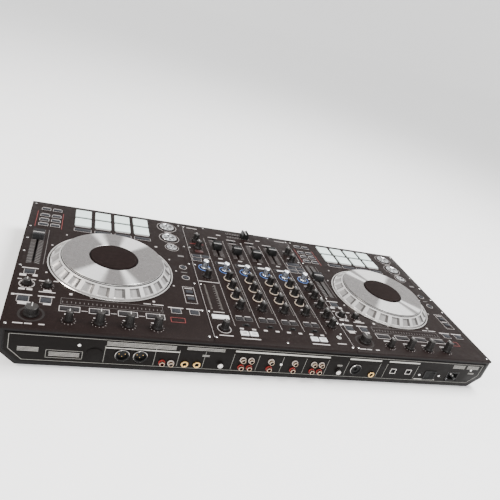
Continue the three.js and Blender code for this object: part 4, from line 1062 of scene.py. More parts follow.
@dataclass
class Deck:
    """One deck: its plate, keys, pads, buttons, knobs, fader and printed marks."""

    side: str
    tempo_slot: float = 108.0
    jog_hole: tuple[float, int] = (105.35, 128)
    key_hole: tuple[float, int] = (5.6, 24)
    shift_hole: tuple[float, int] = (10.9, 32)
    button_hole: tuple[float, int] = (15.6, 48)
    tempo_cap: Place = (19.0, 24.0, 10.6)
    tall_knob: Place = (8.2, 6.4, 21.0)
    encoder: Place = (6.2, 5.2, 17.0)
    selector: Place = (11.0, 9.2, 13.5)
    small_knob: Place = (7.0, 5.6, 9.0)

    @property
    def jog(self) -> Point:
        """The jog wheel's middle."""
        return middle(f"{self.side}_jog_wheel")

    def at(self, shares: Point) -> Point:
        """A place on this deck, in millimetres, from its shares."""
        return self.jog[0] + shares[0] * DECK_WIDTH, shares[1] * TOP_DEPTH

    def build(self) -> None:
        """Builds everything of this deck."""
        self.build_plate()
        JogWheel(self.side).build()
        self.build_keys()
        self.build_pads()
        self.build_buttons()
        self.build_knobs()
        Fader(f"{self.side}_tempo_fader", *self.tempo_cap, CAP_GREY).build()
        self.build_print()

    def keys(self) -> dict[str, list[Box]]:
        """The deck's rectangular keys as (x, y, width, depth), by kind."""
        pad_x, _ = self.at(PAD_MIDDLE)
        places = {
            "effect": [self.at((share, EFFECT_KEY_Y)) for share in EFFECT_X],
            "square": [self.at(place) for place in SQUARE_KEYS],
            "group": [self.at(place) for place in GROUP_KEYS],
            "mode": [(pad_x + (i - 1.5) * PAD_PITCH, MODE_KEY_Y * TOP_DEPTH) for i in range(4)],
            "block": [self.at((share, row)) for share in BLOCK_X for row in BLOCK_Y],
        }
        return {kind: [(*place, *KEY_SIZES[kind]) for place in group]
                for kind, group in places.items()}

    def pads(self) -> list[Point]:
        """Middles of the eight pads."""
        x, y = self.at(PAD_MIDDLE)
        return [(x + (column - 1.5) * PAD_PITCH, y + (row - 0.5) * PAD_PITCH)
                for row in range(2) for column in range(4)]

    def build_plate(self) -> None:
        """Cuts the deck's plate."""
        boxes = [key for keys in self.keys().values() for key in keys]
        boxes += [(x, y, PAD_SIZE, PAD_SIZE) for x, y in self.pads()]
        boxes.append((*self.at(TEMPO), SLOT_WIDTH, self.tempo_slot))
        rounds = [(*self.jog, *self.jog_hole)]
        rounds += [(*self.at(place), *self.key_hole) for place in ROUND_KEYS]
        rounds.append((*self.at(SHIFT), *self.shift_hole))
        rounds += [(*middle(f"{self.side}_{name}_button"), *self.button_hole)
                   for name in ("cue", "play")]
        TopPlate(f"{self.side}_plate", f"{self.side}_deck_plate").build(boxes, rounds)

    def build_keys(self) -> None:
        """Builds the key tops and the sheet that carries them."""
        side, body, keys = self.side, f"{self.side}_deck_keys", self.keys()
        KeyBed(f"{side}_effect_keys", body, KEY_DARK).build(keys["effect"], (body,))
        for name, tops in (("square", keys["square"] + keys["group"]), ("mode", keys["mode"]),
                           ("block", keys["block"])):
            KeyBed(f"{side}_{name}_keys", body, KEY_GREY).build(tops)
        KeySheet(f"{side}_key_sheet", body).build()
        rounds = Shape(f"{side}_round_keys")
        for place in ROUND_KEYS:
            rounds.turned((*self.at(place), TOP), (
                (5.2, -8.0), (5.2, 1.0), (4.8, 1.4), (3.2, 1.4), (2.8, 1.1)), 32)
        rounds.done((KEY_GREY,), body)
        ChromeButton(f"{side}_shift_key", body, *self.at(SHIFT), (
            (10.4, -8.0), (10.4, 0.9), (9.9, 1.4), (8.6, 1.4), (7.4, 0.9)), 64, 8.0).build(
                f"{side}_shift_chrome")

    def build_pads(self) -> None:
        """Builds the eight pads with soft edges on their mat."""
        body = f"{self.side}_pad_mat"
        shape = Shape(f"{self.side}_pads")
        for x, y in self.pads():
            shape.block((x, y, TOP - 1.5), (PAD_SIZE, PAD_SIZE, 7.0))
        shape.round_edges(1.3, steps=3, foot=TOP + 1.8)
        shape.sheet(body, TOP - 5.75, 1.5)
        shape.done((PAD_WHITE, PAD_BLACK), body, lambda centre: centre.z < TOP - 4.9,
                   replaces=(body,))

    def build_buttons(self) -> None:
        """Turns the chrome cue and play buttons."""
        for name in ("cue", "play"):
            node = f"{self.side}_{name}_button"
            ChromeButton(f"{node}_cap", node, *middle(node), (
                (17.0, -5.8), (17.0, -3.8), (15.5, -3.8), (15.5, 1.4), (15.0, 2.0), (13.4, 2.0),
                (12.6, 1.5), (11.4, 1.2), (6.0, 1.05)), 96, 11.5).build(f"{node}_chrome", (node,))

    def build_knobs(self) -> None:
        """Builds the effect knobs, the selector and the two small knobs."""
        side = self.side
        for i in (1, 2, 3, 4):
            node = f"{side}_effect_knob_{i}"
            size = self.tall_knob if i < 4 else self.encoder
            Knob(f"{node}_cap", *middle(node), *size).build(node, (node,))
        node = f"{side}_rotary_selector"
        Knob(f"{node}_cap", *middle(node), *self.selector, flutes=24).build(node, (node,))
        for index, place in enumerate(SMALL_KNOBS):
            Knob(f"{side}_small_knob_{index + 1}", *self.at(place), *self.small_knob,
                 flutes=14).build(CHASSIS)

    def build_print(self) -> None:
        """Lays the deck's white, grey and red marks."""
        side, keys, jog_x = self.side, self.keys(), self.jog[0]

        def moved(marks: Sequence[Mark]) -> list[Mark]:
            """Marks given from the jog's middle in X."""
            return [(jog_x + mark[0], *mark[1:]) for mark in marks]

        white = moved((
            (-132, 126, 26, 2.2), (-101, 126, 26, 2.2), (99.4, 129, 24, 2.4),
            (131.4, 129, 24, 2.4), (146, 129.5, 4.5, 4.0), (99.4, 113, 12, 3.4),
            (99.4, 117, 24, 2.0), (125, 113.5, 8, 4.5), (136, 113.5, 9, 4.5),
            (97, 148.5, 11, 4.0), (131, 151, 12, 5.0), (129, 147.6, 18, 2.0),
            (130.4, 52, 25, 2.2), (121, 73, 7, 6.0), (139, 74, 10, 6.0),
            (88, 84.5, 9, 2.4), (110, 86.5, 8, 2.0), (122, 85.5, 7, 2.0), (142, 86.5, 6, 2.0),
            (-132, 84, 14, 1.8), (-132, 62, 14, 1.8), (-72, 122.5, 18, 1.8), (-54, 122.5, 12, 1.8),
            (100, 198, 8, 2.2), (117.5, 198, 10, 2.2), (131, 198, 13, 2.2),
            (64.8, 169, 13, 2.6), (-65.6, 114, 4, 4), (34, 120, 4, 4), (64.8, 116, 4.5, 5),
            (-106, 58, 3, 3), (-117, 5, 3, 3), (-108.6, -35, 3, 3), (81.4, -79, 3, 3),
            (103.4, -33, 3, 3), (105.4, 60, 3, 3), (-86.6, -80, 5, 4),
            (-118.6, -101, 14, 1.6), (-118.6, -151.5, 14, 1.6),
        ))
        white += beside(keys["effect"][:3], 17.5, 17.0, 1.6)
        white += [(x + 0.5 * (PAD_PITCH + 4.7), y + 2.5, 9.0, 0.9)
                  for x, y, *_ in keys["effect"][:3]]
        white += beside(keys["mode"], -15.0, 28.0, 1.8)
        white += beside(keys["block"], -6.6, 14.0, 1.5)
        for i in (1, 2, 3, 4):
            white += ticks(*middle(f"{side}_effect_knob_{i}"), 10.6 if i < 4 else 9.6)
        for place in SMALL_KNOBS:
            white += ticks(*self.at(place), 9.4)
        frames = around(keys["effect"], 3.4, 5.0, 0.9)
        frames.append((jog_x - 132.0, 82.5, 21.0, 51.0, 0.6))
        frames += around(keys["square"], 2.0, 2.4, 0.6)
        frames += around(keys["block"], 2.2, 2.2, 0.7)
        frames += around(keys["mode"], 2.4, 2.4, 0.7)
        rings = [(*self.at(SMALL_KNOBS[1]), 11.6, 0.9), (*self.at(SHIFT), 14.0, 0.6)]
        rings += [(*middle(f"{side}_{name}_button"), 21.0, 0.6) for name in ("cue", "play")]
        rings += [(*self.at(place), 7.4, 0.8) for place in ROUND_KEYS]
        Print(f"{side}_white_marks", WHITE_INK).build(white, frames, rings)
        tempo_x, tempo_y = self.at(TEMPO)
        grey = [(jog_x + (i - 12) * 6.3, 138.0, 0.9, 4.2) for i in range(25)]
        grey += [(tempo_x + way * 6.3, tempo_y + 60.0 - i * 5.2, 8.6, 1.3, way * 0.45)
                 for i in range(24) for way in (-1, 1)]
        grey += moved(((-132, 7, 12, 2), (-134, -55, 12, 6), (112.6, -26, 0.8, 124)))
        strip = [(jog_x, 136.0, 157.0, 17.0, 0.5)]
        Print(f"{side}_grey_marks", GREY_INK, TOP + 0.02).build(grey, strip)
        Print(f"{side}_dim_marks", DIM_INK).build(
            [(tempo_x + way * 6.3, tempo_y, 9.4, 126.0) for way in (-1, 1)], (),
            [(*middle(f"{side}_rotary_selector"), 18.4, 3.4)], depth=0.06)
        red = moved(((92.4, -131.5, 0.8, 67), (139.4, -131.5, 0.8, 67)))
        red_frames = [(jog_x - 101.0, 159.5, 24.0, 13.0, 0.8)]
        Print(f"{side}_red_marks", RED_INK).build(red, red_frames)


# The mixer's places: x in shares of its width, y in shares of the top's depth
CHANNEL_X = (-0.249, -0.083, 0.083, 0.249)
KNOB_ROWS = ("trim", "high", "mid", "low", "colour")
COLUMN = 0.4122
SILVER_Y = -0.0482
MIC_KNOB_Y = (0.3303, 0.2603, 0.1832, 0.1061, 0.0386, SILVER_Y, -0.2363, -0.3158)
MASTER_KNOB_Y = (0.4147, 0.0289, SILVER_Y, -0.2459, -0.3206)
FADER_Y = -0.2628
CROSS_Y = -0.4412
PAIR_Y = 0.3375
PAIR_HALF = 8.1


@dataclass
class Mixer:
    """The mixer: its plate, knobs, faders, keys, switches, meters and printed marks."""

    pitch: float = 43.5
    knob: Place = (8.0, 6.0, 16.5)
    small_key: Point = (17.0, 9.0)
    long_key: Point = (30.0, 11.0)
    key_top: float = 1.4
    fader_slot: float = 62.0
    cross_slot: float = 53.0
    fader_cap: Place = (17.0, 22.0, 13.1)
    cross_cap: Place = (20.0, 15.0, 14.6)

    def at(self, shares: Point) -> Point:
        """A place on the mixer, in millimetres, from its shares."""
        return shares[0] * MIXER_WIDTH, shares[1] * TOP_DEPTH

    def keys(self) -> dict[str, list[Box]]:
        """The mixer's keys as (x, y, width, depth), by kind."""
        at, small, long = self.at, self.small_key, self.long_key
        pairs = []
        for share in CHANNEL_X:
            x, y = at((share, PAIR_Y))
            pairs += [(x + way * PAIR_HALF, y, 13.0, 9.0) for way in (-1, 1)]
        wide = [(-0.452, -0.1278), (-0.452, -0.1591), (-0.374, -0.1278), (-0.374, -0.1591),
                (0.374, -0.1567), (0.4466, -0.1567), (0.4504, -0.1206)]
        return {
            "cue": [(*at((share, -0.1085)), 28.0, 11.0) for share in CHANNEL_X],
            "pair": pairs,
            "window": [(*at((share, 0.4363)), 14.0, 11.0)
                       for share in (-0.2786, -0.2137, 0.2214, 0.2844)],
            "master": [(*at((COLUMN, 0.3399)), *long)],
            "wide": [(*at(place), *small) for place in wide] + [(*at((-COLUMN, -0.2001)), *long)],
            "red": [(*at((COLUMN, -0.2025)), *small)],
        }

    def build(self) -> None:
        """Builds the mixer."""
        self.build_plate()
        self.build_knobs()
        for channel in CHANNELS:
            Fader(f"channel_fader_{channel}", *self.fader_cap, CAP_BLACK).build()
        Fader("crossfader", *self.cross_cap, CAP_BLACK, across=True).build()
        self.build_keys()
        self.build_switches()
        self.build_print()

    def build_plate(self) -> None:
        """Cuts the mixer's plate."""
        boxes = [key for keys in self.keys().values() for key in keys]
        boxes += [(*self.at((share, FADER_Y)), SLOT_WIDTH, self.fader_slot)
                  for share in CHANNEL_X]
        boxes.append((*self.at((0.0, CROSS_Y)), self.cross_slot, SLOT_WIDTH))
        TopPlate("mixer_top", "mixer_plate").build(boxes)

    def build_knob(self, name: str, place: Point, silver: bool, body: str = CHASSIS,
                   replaces: Sequence[str] = ()) -> bpy.types.Object:
        """Builds one knob, in black or silver, on the plate or on its own body."""
        finish, cap = (SILVER_KNOB, SILVER_CAP) if silver else (RUBBER, KNOB_CAP)
        return Knob(name, *place, *self.knob, finish=finish, cap=cap).build(body, replaces)

    def build_knobs(self) -> None:
        """Builds the channel knobs, and the microphone and master columns' knobs."""
        for row in KNOB_ROWS:
            first = f"{row}_knob_1"
            x0, y0 = middle(first)
            silver = row == "colour"
            source = self.build_knob(f"{first}_cap", (x0, y0), silver, first, (first,))
            for channel in CHANNELS[1:]:
                node = f"{row}_knob_{channel}"
                x, y = middle(node)
                copy = copy_to(source, f"{node}_cap", (x - x0, y - y0, 0.0))
                enrol(copy, node, (node,))
        for name, column, rows in (("microphone", -COLUMN, MIC_KNOB_Y),
                                   ("master", COLUMN, MASTER_KNOB_Y)):
            for index, share in enumerate(rows):
                self.build_knob(f"{name}_knob_{index + 1}", self.at((column, share)),
                                share == SILVER_Y)

    def build_keys(self) -> None:
        """Builds the mixer's keys."""
        keys, body = self.keys(), "mixer_keys"
        KeyBed("cue_keys", body, KEY_DARK).build(keys["cue"], (body,))
        Print("cue_key_marks", KEY_WHITE, TOP + self.key_top, body).build(
            beside(keys["cue"], 0.0, 19.0, 4.6))
        KeyBed("pair_keys", body, KEY_DARK).build(keys["pair"])
        KeyBed("window_keys", body, KEY_WHITE).build(keys["window"])
        KeyBed("master_key", body, KEY_WHITE).build(keys["master"])
        Print("window_key_marks", GREY_INK, TOP + self.key_top, body).build(
            [(x, y + way * 1.6, 8.0, 1.3) for x, y, *_ in keys["window"] for way in (-1, 1)])
        KeyBed("wide_keys", body, KEY_GREY).build(keys["wide"])
        KeyBed("red_key", body, KEY_RED).build(keys["red"])
        KeySheet("mixer_key_sheet", body).build()

    def build_switches(self) -> None:
        """Builds the toggle and the small slide switches."""
        x, y = self.at((-COLUMN, 0.4147))
        toggle = Shape("microphone_toggle")
        toggle.turned((x, y, TOP), ((5.0, 0.0), (5.0, 1.6), (4.4, 2.0), (2.2, 2.0), (1.2, 2.8),
                                    (1.7, 8.6), (1.4, 9.8), (0.8, 10.0)), 24)
        toggle.done((STEEL,))
        nubs = Shape("slide_switches")
        wells = []
        for share in CHANNEL_X:
            for row in (0.3809, -0.3616):
                x, y = self.at((share, row))
                nubs.block((x, y, TOP + 1.2), (7.0, 3.4, 3.4))
                wells.append((x, y, 15.0, 5.0))
        nubs.round_edges(0.5, foot=TOP + 2.8)
        nubs.done((CAP_BLACK,))
        # Black tiles under the slide switches paint the shade of their slots
        Print("switch_slot_painted_shade", CUP_BLACK).build(wells)

    def build_print(self) -> None:
        """Lays the mixer's white, cream, grey and red marks, and the meters' lights."""
        p = self.pitch
        xs = [share * MIXER_WIDTH for share in CHANNEL_X]
        column = COLUMN * MIXER_WIDTH
        lines = [(way * p * k, 6.0, 0.4, 312.0) for way in (-1, 1) for k in (1, 2)]
        lines += [(way * (MIXER_WIDTH / 2 - 1.6), 0.0, 0.45, 392.0) for way in (-1, 1)]
        lines.append((0.0, 6.0, 0.4, 312.0))
        white: list[Mark] = [
            (-64, 194, 34, 2.2), (66, 194, 34, 2.2), (-48, -176, 10, 3), (48, -176, 10, 3),
            (-column, -190, 26, 2), (column, -190, 24, 2), (column, 190, 24, 2),
            (-column, 188, 18, 2), (column, 31, 40, 1.6), (column, 126.5, 20, 2.0)]
        dots: list[Mark] = []
        for x in xs:
            white += [(x, -66, 9, 3), (x - 11, 168, 7, 3.6), (x + 11, 168, 7, 3.6),
                      (x, -158.5, 22, 1.8), (x, -142.5, 16, 1.8),
                      (x - PAIR_HALF, 132.5, 11, 1.6), (x + PAIR_HALF, 132.5, 11, 1.6)]
            for row in KNOB_ROWS[:4]:
                _, y = middle(f"{row}_knob_1")
                white.append((x, y - 13.0, 8.0, 1.4))
                if row == "trim":
                    dots += ticks(x, y, 10.6)
        for share in MIC_KNOB_Y:
            dots += ticks(-column, share * TOP_DEPTH, 10.6)
            white.append((-column, share * TOP_DEPTH - 13.0, 12.0, 1.4))
        for share in MASTER_KNOB_Y:
            dots += ticks(column, share * TOP_DEPTH, 10.6)
        rings = [(column, MASTER_KNOB_Y[0] * TOP_DEPTH, 12.0, 1.0)]
        keys = self.keys()
        Print("mixer_white_marks", WHITE_INK).build(
            white + lines, around(keys["wide"], 2.0, 2.0, 0.6), rings)
        frames = around(keys["pair"] + keys["cue"], 2.4, 2.4, 0.5)
        dots += [(column - 5.0, 46.0 + 7.6 * i, 4.0, 1.0) for i in range(10)]
        Print("mixer_key_frames", GREY_INK).build(dots, frames)
        Collars("cream_rings", CREAM).build(
            [(x, middle(f"{row}_knob_1")[1]) for x in xs for row in KNOB_ROWS[1:4]])
        colour_y = middle("colour_knob_1")[1]
        silver = [(x, colour_y) for x in (-column, *xs, column)]
        Collars("blue_rings", BLUE_RING, 11.0, 12.0, 0.8).build(silver)
        fader_y, cross_y = FADER_Y * TOP_DEPTH, CROSS_Y * TOP_DEPTH
        grey = [(x + way * 7.6, fader_y + 33.0 - i * 5.5, 9.0, 1.2)
                for x in xs for i in range(13) for way in (-1, 1)]
        grey += [((i - 6.5) * 4.0, cross_y + way * 7.5, 1.2, 8.0)
                 for i in range(14) for way in (1, -1)]
        Print("mixer_grey_marks", GREY_INK).build(grey)
        lights = [(left + 4.2, 2.0 + 4.0 * i, 2.0, 1.8)
                  for left in (-2 * p, -p, 0.0, p) for i in range(29)]
        lights += [(x, 42.0 + 3.8 * i, 3.4, 1.8) for x in (100.0, 119.0) for i in range(21)]
        Print("meter_lights", LIGHT).build(lights)
        Print("mixer_red_marks", RED_INK).build([(column, -117.0, 30.0, 1.2),
                                                 (column, -115.0, 1.0, 20.0)])


@dataclass
class Fixings:
    """Small screws along the plates' seams and edges."""

    radius: float = 2.1
    rise: float = 0.5
    seam: float = MIXER_WIDTH / 2
    edge: float = CASE_WIDTH / 2 - 7.0
    seam_rows: Floats = (196.0, 126.0, 42.0, -28.0, -98.0, -193.0)
    edge_rows: Floats = (200.0, 45.0, -2.0, -49.0, -96.0, -197.0)
    singles: tuple[Point, ...] = ((-81.0, -199.0), (80.0, -199.0), (1.0, 197.0), (0.0, -150.0))

    def places(self) -> list[Point]:
        """The screws' places on the top."""
        columns = ((self.seam - 5.0, self.seam_rows), (self.seam + 7.0, self.seam_rows),
                   (self.edge, self.edge_rows))
        places = [(way * x, y) for x, rows in columns for way in (-1, 1) for y in rows]
        return places + list(self.singles)

    def build(self) -> None:
        """Turns the screws, each with a round recess."""
        shape = Shape("plate_screws")
        r = self.radius
        for x, y in self.places():
            shape.turned((x, y, TOP), ((r, -0.1), (r, self.rise * 0.5), (r - 0.5, self.rise),
                                       (0.9, self.rise), (0.6, 0.15)), 16)
        shape.done((STEEL,))


@dataclass
class Housing:
    """The bottom case: an open tray with chamfered lower edges, feet and screws."""

    half: float = 438.0
    front: float = -213.5
    rear: float = 206.0
    low: float = 3.2
    high: float = 67.4
    wall: float = 3.0
    rear_wall: float = 4.0
    chamfer: float = 24.0
    brow: float = 6.1
    softness: float = 0.6
    window: Box = (430.3, 9.4, 61.2, 20.0)
    phones: Point = (-105.1, -83.2)
    phones_height: float = 42.0
    foot_radius: float = 14.0
    foot_x: float = 362.0
    foot_y: Floats = (-163.5, 0.0, 180.0)
    screw_x: Floats = (-400.0, -200.0, 0.0, 200.0, 400.0)
    screw_y: Point = (-176.0, 190.0)

    def tray(self, name: str, inset: float, rear: float, high: float, chamfer: float) -> Shape:
        """Starts a block with chamfered lower edges.

        Args:
            name: The shape's name.
            inset: Distance inside the case's outside.
            rear: Its rear face.
            high: Its top.
            chamfer: Width of the chamfers.

        Returns:
            The shape, open for editing.
        """
        shape = Shape(name)
        half, front, low = self.half - inset, self.front + inset, self.low + inset
        shape.block((0.0, (front + rear) / 2, (low + high) / 2),
                    (2 * half, rear - front, high - low))
        shape.pick_edges(lambda centre, way: centre.z < low + 0.1 and (
            abs(way.y) > 0.9 or centre.y < front + 0.1))
        shape.bevel(chamfer, 1)
        return shape

    def build(self) -> None:
        """Builds the case, its feet, its headphone sockets and its screws."""
        case = self.tray("case_shell", 0.0, self.rear, self.high, self.chamfer)
        case.pick_edges(lambda centre, way: centre.z > self.high - 0.1
                        and centre.y < self.front + 0.1)
        case.bevel(self.brow, 1)
        case.pick_edges(lambda centre, way: centre.z < self.high - self.brow - 0.1)
        case.bevel(self.softness)
        case.close()
        case.carve(self.tray("case_cavity", self.wall, self.rear - self.rear_wall, TOP,
                             self.chamfer - 0.59 * self.wall))
        opening = Shape("case_window")
        half, low, high, chamfer = self.window
        opening.block((0.0, self.rear, (low + high) / 2),
                      (2 * half, 4 * self.rear_wall, high - low))
        opening.pick_edges(lambda centre, way: centre.z < low + 0.1 and abs(way.y) > 0.9)
        opening.bevel(chamfer, 1)
        case.carve(opening)
        case.carve(self.phone_shape("case_bores", ((6.0, -4.0), (6.0, 6.0))))
        case.done((CASE_PAINT,), replaces=("bottom_case",))
        sockets = self.phone_shape("headphone_sockets", (
            (7.4, 22.0), (7.4, 3.2), (5.7, 3.2), (5.7, 0.5), (5.2, 0.1), (3.9, 0.1), (3.3, 0.6),
            (3.3, 18.0)))
        sockets.done((SOCKET_BLACK, GOLD), which=lambda centre: centre.y < self.front + 0.5)
        self.build_feet()

    def phone_shape(self, name: str, profile: Sequence[Point]) -> Shape:
        """Starts a shape with a turned solid at each headphone socket."""
        shape = Shape(name)
        for x in self.phones:
            shape.turned((x, self.front, self.phones_height), profile, 32, along_y=True)
        return shape

    def build_feet(self) -> None:
        """Turns the rubber feet and the screws of the underside."""
        feet = Shape("rubber_feet")
        r = self.foot_radius
        for x in (-self.foot_x, self.foot_x):
            for y in self.foot_y:
                feet.turned((x, y, 0.0), ((r - 5.0, 0.6), (r - 4.6, 0.0), (r - 1.4, 0.0),
                                          (r - 0.4, 0.5), (r, 1.4), (r, self.low + 0.4)), 40)
        feet.done((FOOT_RUBBER,))
        screws = Shape("underside_screws")
        for x in self.screw_x:
            for y in self.screw_y:
                screws.turned((x, y, self.low), ((0.7, -0.1), (1.0, -0.6), (2.2, -0.6),
                                                 (2.6, -0.2), (2.6, 0.2)), 16)
        screws.done((STEEL,))


@dataclass
class RearFace:
    """The rear face: panel, sockets, terminals, inlet, rocker surround and printed frame.

    Places across it are shares of the case's width, heights are millimetres above the table.
    """

    face: float = 207.1
    back: float = 205.1
    half: float = 430.0
    low: float = 9.7
    high: float = 60.9
    chamfer: float = 19.8
    softness: float = 0.4
    outputs: Point = (0.3048, 0.274)
    combination: float = -0.1621
    jacks: Floats = (0.1929, 0.1701, -0.2043)
    terminals: Point = (0.1267, -0.1233)
    data: Point = (-0.2546, -0.2934)
    phono_pair: Point = (0.234, 0.218)
    phono_blocks: Point = (0.0765, -0.0731)
    phono_columns: Point = (0.0274, -0.0228)
    phono_half: float = 7.25
    inlet: float = -0.4144
    lock: float = 0.3505
    low_row: float = 21.7
    high_row: float = 36.7
    wide_row: float = 31.7
    terminal_row: float = 25.0
    mains_row: float = 27.0
    lock_row: float = 29.7
    pin_circle: float = 4.6
    board: Point = (-0.31, 0.325)
    board_y: Point = (126.8, 204.8)
    board_z: Point = (10.0, 11.9)
    standoffs: Point = (135.8, 193.0)
    block_y: Point = (191.0, 204.6)
    block_foot: float = 12.0
    rocker_opening: Point = (21.6, 15.6)
    bezel: Point = (26.4, 20.4)
    bezel_width: float = 2.5
    label_rows: tuple[tuple[float, float, float, int], ...] = (
        (240.0, 54.5, 104.0, 4), (140.0, 54.5, 62.0, 3), (398.0, 36.0, 28.0, 4),
        (349.0, 29.5, 42.0, 4), (-368.0, 54.0, 28.0, 4), (-402.0, 54.0, 28.0, 4),
        (-404.0, 38.0, 14.0, 2), (138.0, 41.0, 12.0, 2), (-108.0, 38.0, 10.0, 2))
    label_bars: tuple[Box, ...] = (
        (237, 43.7, 112, 2.0), (4, 53.0, 174, 3.0), (-156, 53.0, 66, 3.0), (-240, 53.0, 68, 3.0),
        (-301, 16.7, 48, 2.0))
    dividers: Floats = (293, 218, 181, 139, 91, 47, 3, -40, -83, -123, -190, -205, -274)
    plate_box: Box = (349.0, 26.3, 50.0, 14.0)
    screws: tuple[Point, ...] = (
        (4.0, 31.7), (-285.0, 27.0), (-331.0, 27.0), (330.0, 45.0), (-400.0, 45.0))

    def at(self, shares: Sequence[float], z: float) -> list[Point]:
        """Places on the rear face as (x, z), in millimetres."""
        return [(share * CASE_WIDTH, z) for share in shares]

    def phonos(self) -> list[tuple[float, float, bool]]:
        """(x, z, red) of each phono socket."""
        red_x, white_x = (x for x, _ in self.at(self.phono_pair, 0.0))
        places = [(red_x, self.low_row, True), (white_x, self.low_row, False)]
        columns = [x + way * self.phono_half for x, _ in self.at(self.phono_blocks, 0.0)
                   for way in (-1, 1)]
        columns += [x for x, _ in self.at(self.phono_columns, 0.0)]
        for x in columns:
            places += [(x, self.low_row, True), (x, self.high_row, False)]
        return places

    def turn(self, name: str, places: Sequence[Point], profile: Sequence[Point],
             sides: int) -> Shape:
        """Starts a shape with the same turned solid at each place.

        Args:
            name: The shape's name.
            places: (x, z) of each solid.
            profile: (radius, height) points, with heights from the panel's face outward.
            sides: Number of sides.

        Returns:
            The shape, open for editing.
        """
        shape = Shape(name)
        for x, z in places:
            shape.turned((x, self.face, z), profile, sides, along_y=True)
        return shape

    def near(self, places: Sequence[Point], radius: float) -> Callable[[Vector], bool]:
        """A test for faces that lie nearer than a radius to the axis of one of the places."""
        return lambda centre: min(math.hypot(centre.x - x, centre.z - z)
                                  for x, z in places) < radius

    def build(self) -> None:
        """Builds the rear face."""
        self.build_panel()
        self.build_board()
        self.build_phonos()
        self.build_round_sockets()
        self.build_data_sockets()
        self.build_mains()
        self.build_print()

    def build_panel(self) -> None:
        """Cuts the panel's openings, and frames the rocker."""
        panel = Shape("rear_plate")
        deep = (self.back + self.face) / 2
        panel.block((0.0, deep, (self.low + self.high) / 2),
                    (2 * self.half, self.face - self.back, self.high - self.low))
        panel.pick_edges(lambda centre, way: centre.z < self.low + 0.1 and abs(way.y) > 0.9)
        panel.bevel(self.chamfer, 1)
        panel.pick_edges(lambda centre, way: centre.y > self.face - 0.1)
        panel.bevel(self.softness)
        panel.close()
        cutter = Shape("rear_cutter")
        for places, radius in (([(x, z) for x, z, _ in self.phonos()], 4.5),
                               (self.at(self.jacks, self.low_row), 6.5),
                               (self.at((*self.outputs, self.combination), self.wide_row), 11.3),
                               (self.at(self.terminals, self.terminal_row), 2.4)):
            for x, z in places:
                cutter.turned((x, deep, z), ((radius, -3.0), (radius, 3.0)), 32, along_y=True)
        low, high = spot("power_switch")
        rocker = ((low.x + high.x) / 2, (low.z + high.z) / 2)
        for places, (width, height) in ((self.at(self.data, self.wide_row), (12.6, 11.6)),
                                        (self.at((self.inlet,), self.mains_row), (27.0, 20.0)),
                                        ([rocker], self.rocker_opening)):
            for x, z in places:
                cutter.block((x, deep, z), (width, 6.0, height))
        panel.carve(cutter)
        panel.done((PANEL_PAINT,), replaces=("rear_panel",))
        self.build_bezel(*rocker)

    def build_bezel(self, x: float, z: float) -> None:
        """Frames the rocker: a shallow block whose middle is pushed through."""
        bezel = Shape("rocker_bezel")
        width, height = self.bezel
        bezel.block((x, self.face + 0.45, z), (width, 1.0, height))
        bezel.pick(lambda centre, normal: normal.y > 0.9)
        bezel.inset(self.bezel_width)
        bezel.push((0.0, -0.98, 0.0))
        bpy.ops.mesh.delete(type="FACE")
        bezel.pick(lambda centre, normal: normal.y < -0.9)
        bezel.hollow(self.bezel_width)
        bpy.ops.mesh.select_mode(type="VERT")
        bpy.ops.mesh.select_all(action="SELECT")
        bpy.ops.mesh.remove_doubles(threshold=0.05 * MM)
        bezel.done((SOCKET_BLACK,))

    def build_board(self) -> None:
        """Builds the main board, its standoffs and the blocks behind the sockets."""
        board = Shape("socket_board")
        (x0, _), (x1, _) = self.at(self.board, 0.0)
        (y0, y1), (z0, z1) = self.board_y, self.board_z
        board.block(((x0 + x1) / 2, (y0 + y1) / 2, (z0 + z1) / 2), (x1 - x0, y1 - y0, z1 - z0))
        for x in (x0 + 9.0, x1 - 9.0):
            for y in self.standoffs:
                board.turned((x, y, 0.0), ((3.0, 6.5), (3.0, 10.1)), 24)
        board.done((BOARD_GREEN,), replaces=("main_board",))
        blocks = Shape("socket_blocks")
        y0, y1 = self.block_y
        for shares, width, top in (
                (self.phono_pair, 14.5, 28.95), (self.phono_blocks, 29.0, 44.0),
                (self.phono_columns, 14.5, 44.0), ((*self.outputs, self.combination), 22.0, 42.7),
                (self.jacks, 12.4, 27.9), (self.terminals, 9.2, 29.6), (self.data, 12.0, 37.2)):
            for x, z in self.at(shares, (self.block_foot + top) / 2):
                blocks.block((x, (y0 + y1) / 2, z), (width, y1 - y0, top - self.block_foot))
        blocks.round_edges(0.3, steps=1, foot=0.0)
        blocks.done((SOCKET_BLACK,))

    def build_phonos(self) -> None:
        """Turns the phono sockets' shells and their coloured insulators."""
        phonos = self.phonos()
        places = [(x, z) for x, z, _ in phonos]
        shells = self.turn("phono_shells", places, (
            (4.15, -2.3), (4.15, 5.2), (3.8, 5.6), (3.2, 5.6), (3.1, -1.6), (1.4, -1.6),
            (1.3, -2.1)), 24)
        shells.done((PHONO_SHELL, SOCKET_BLACK), which=self.near(places, 3.18))
        for name, red, finish in (("red", True, PHONO_RED), ("white", False, PHONO_WHITE)):
            self.turn(f"phono_{name}_rings", [(x, z) for x, z, is_red in phonos if is_red is red],
                      ((5.3, 0.05), (5.3, 1.5), (4.9, 1.9), (4.3, 1.9), (4.3, 1.0)), 24).done(
                          (finish,))

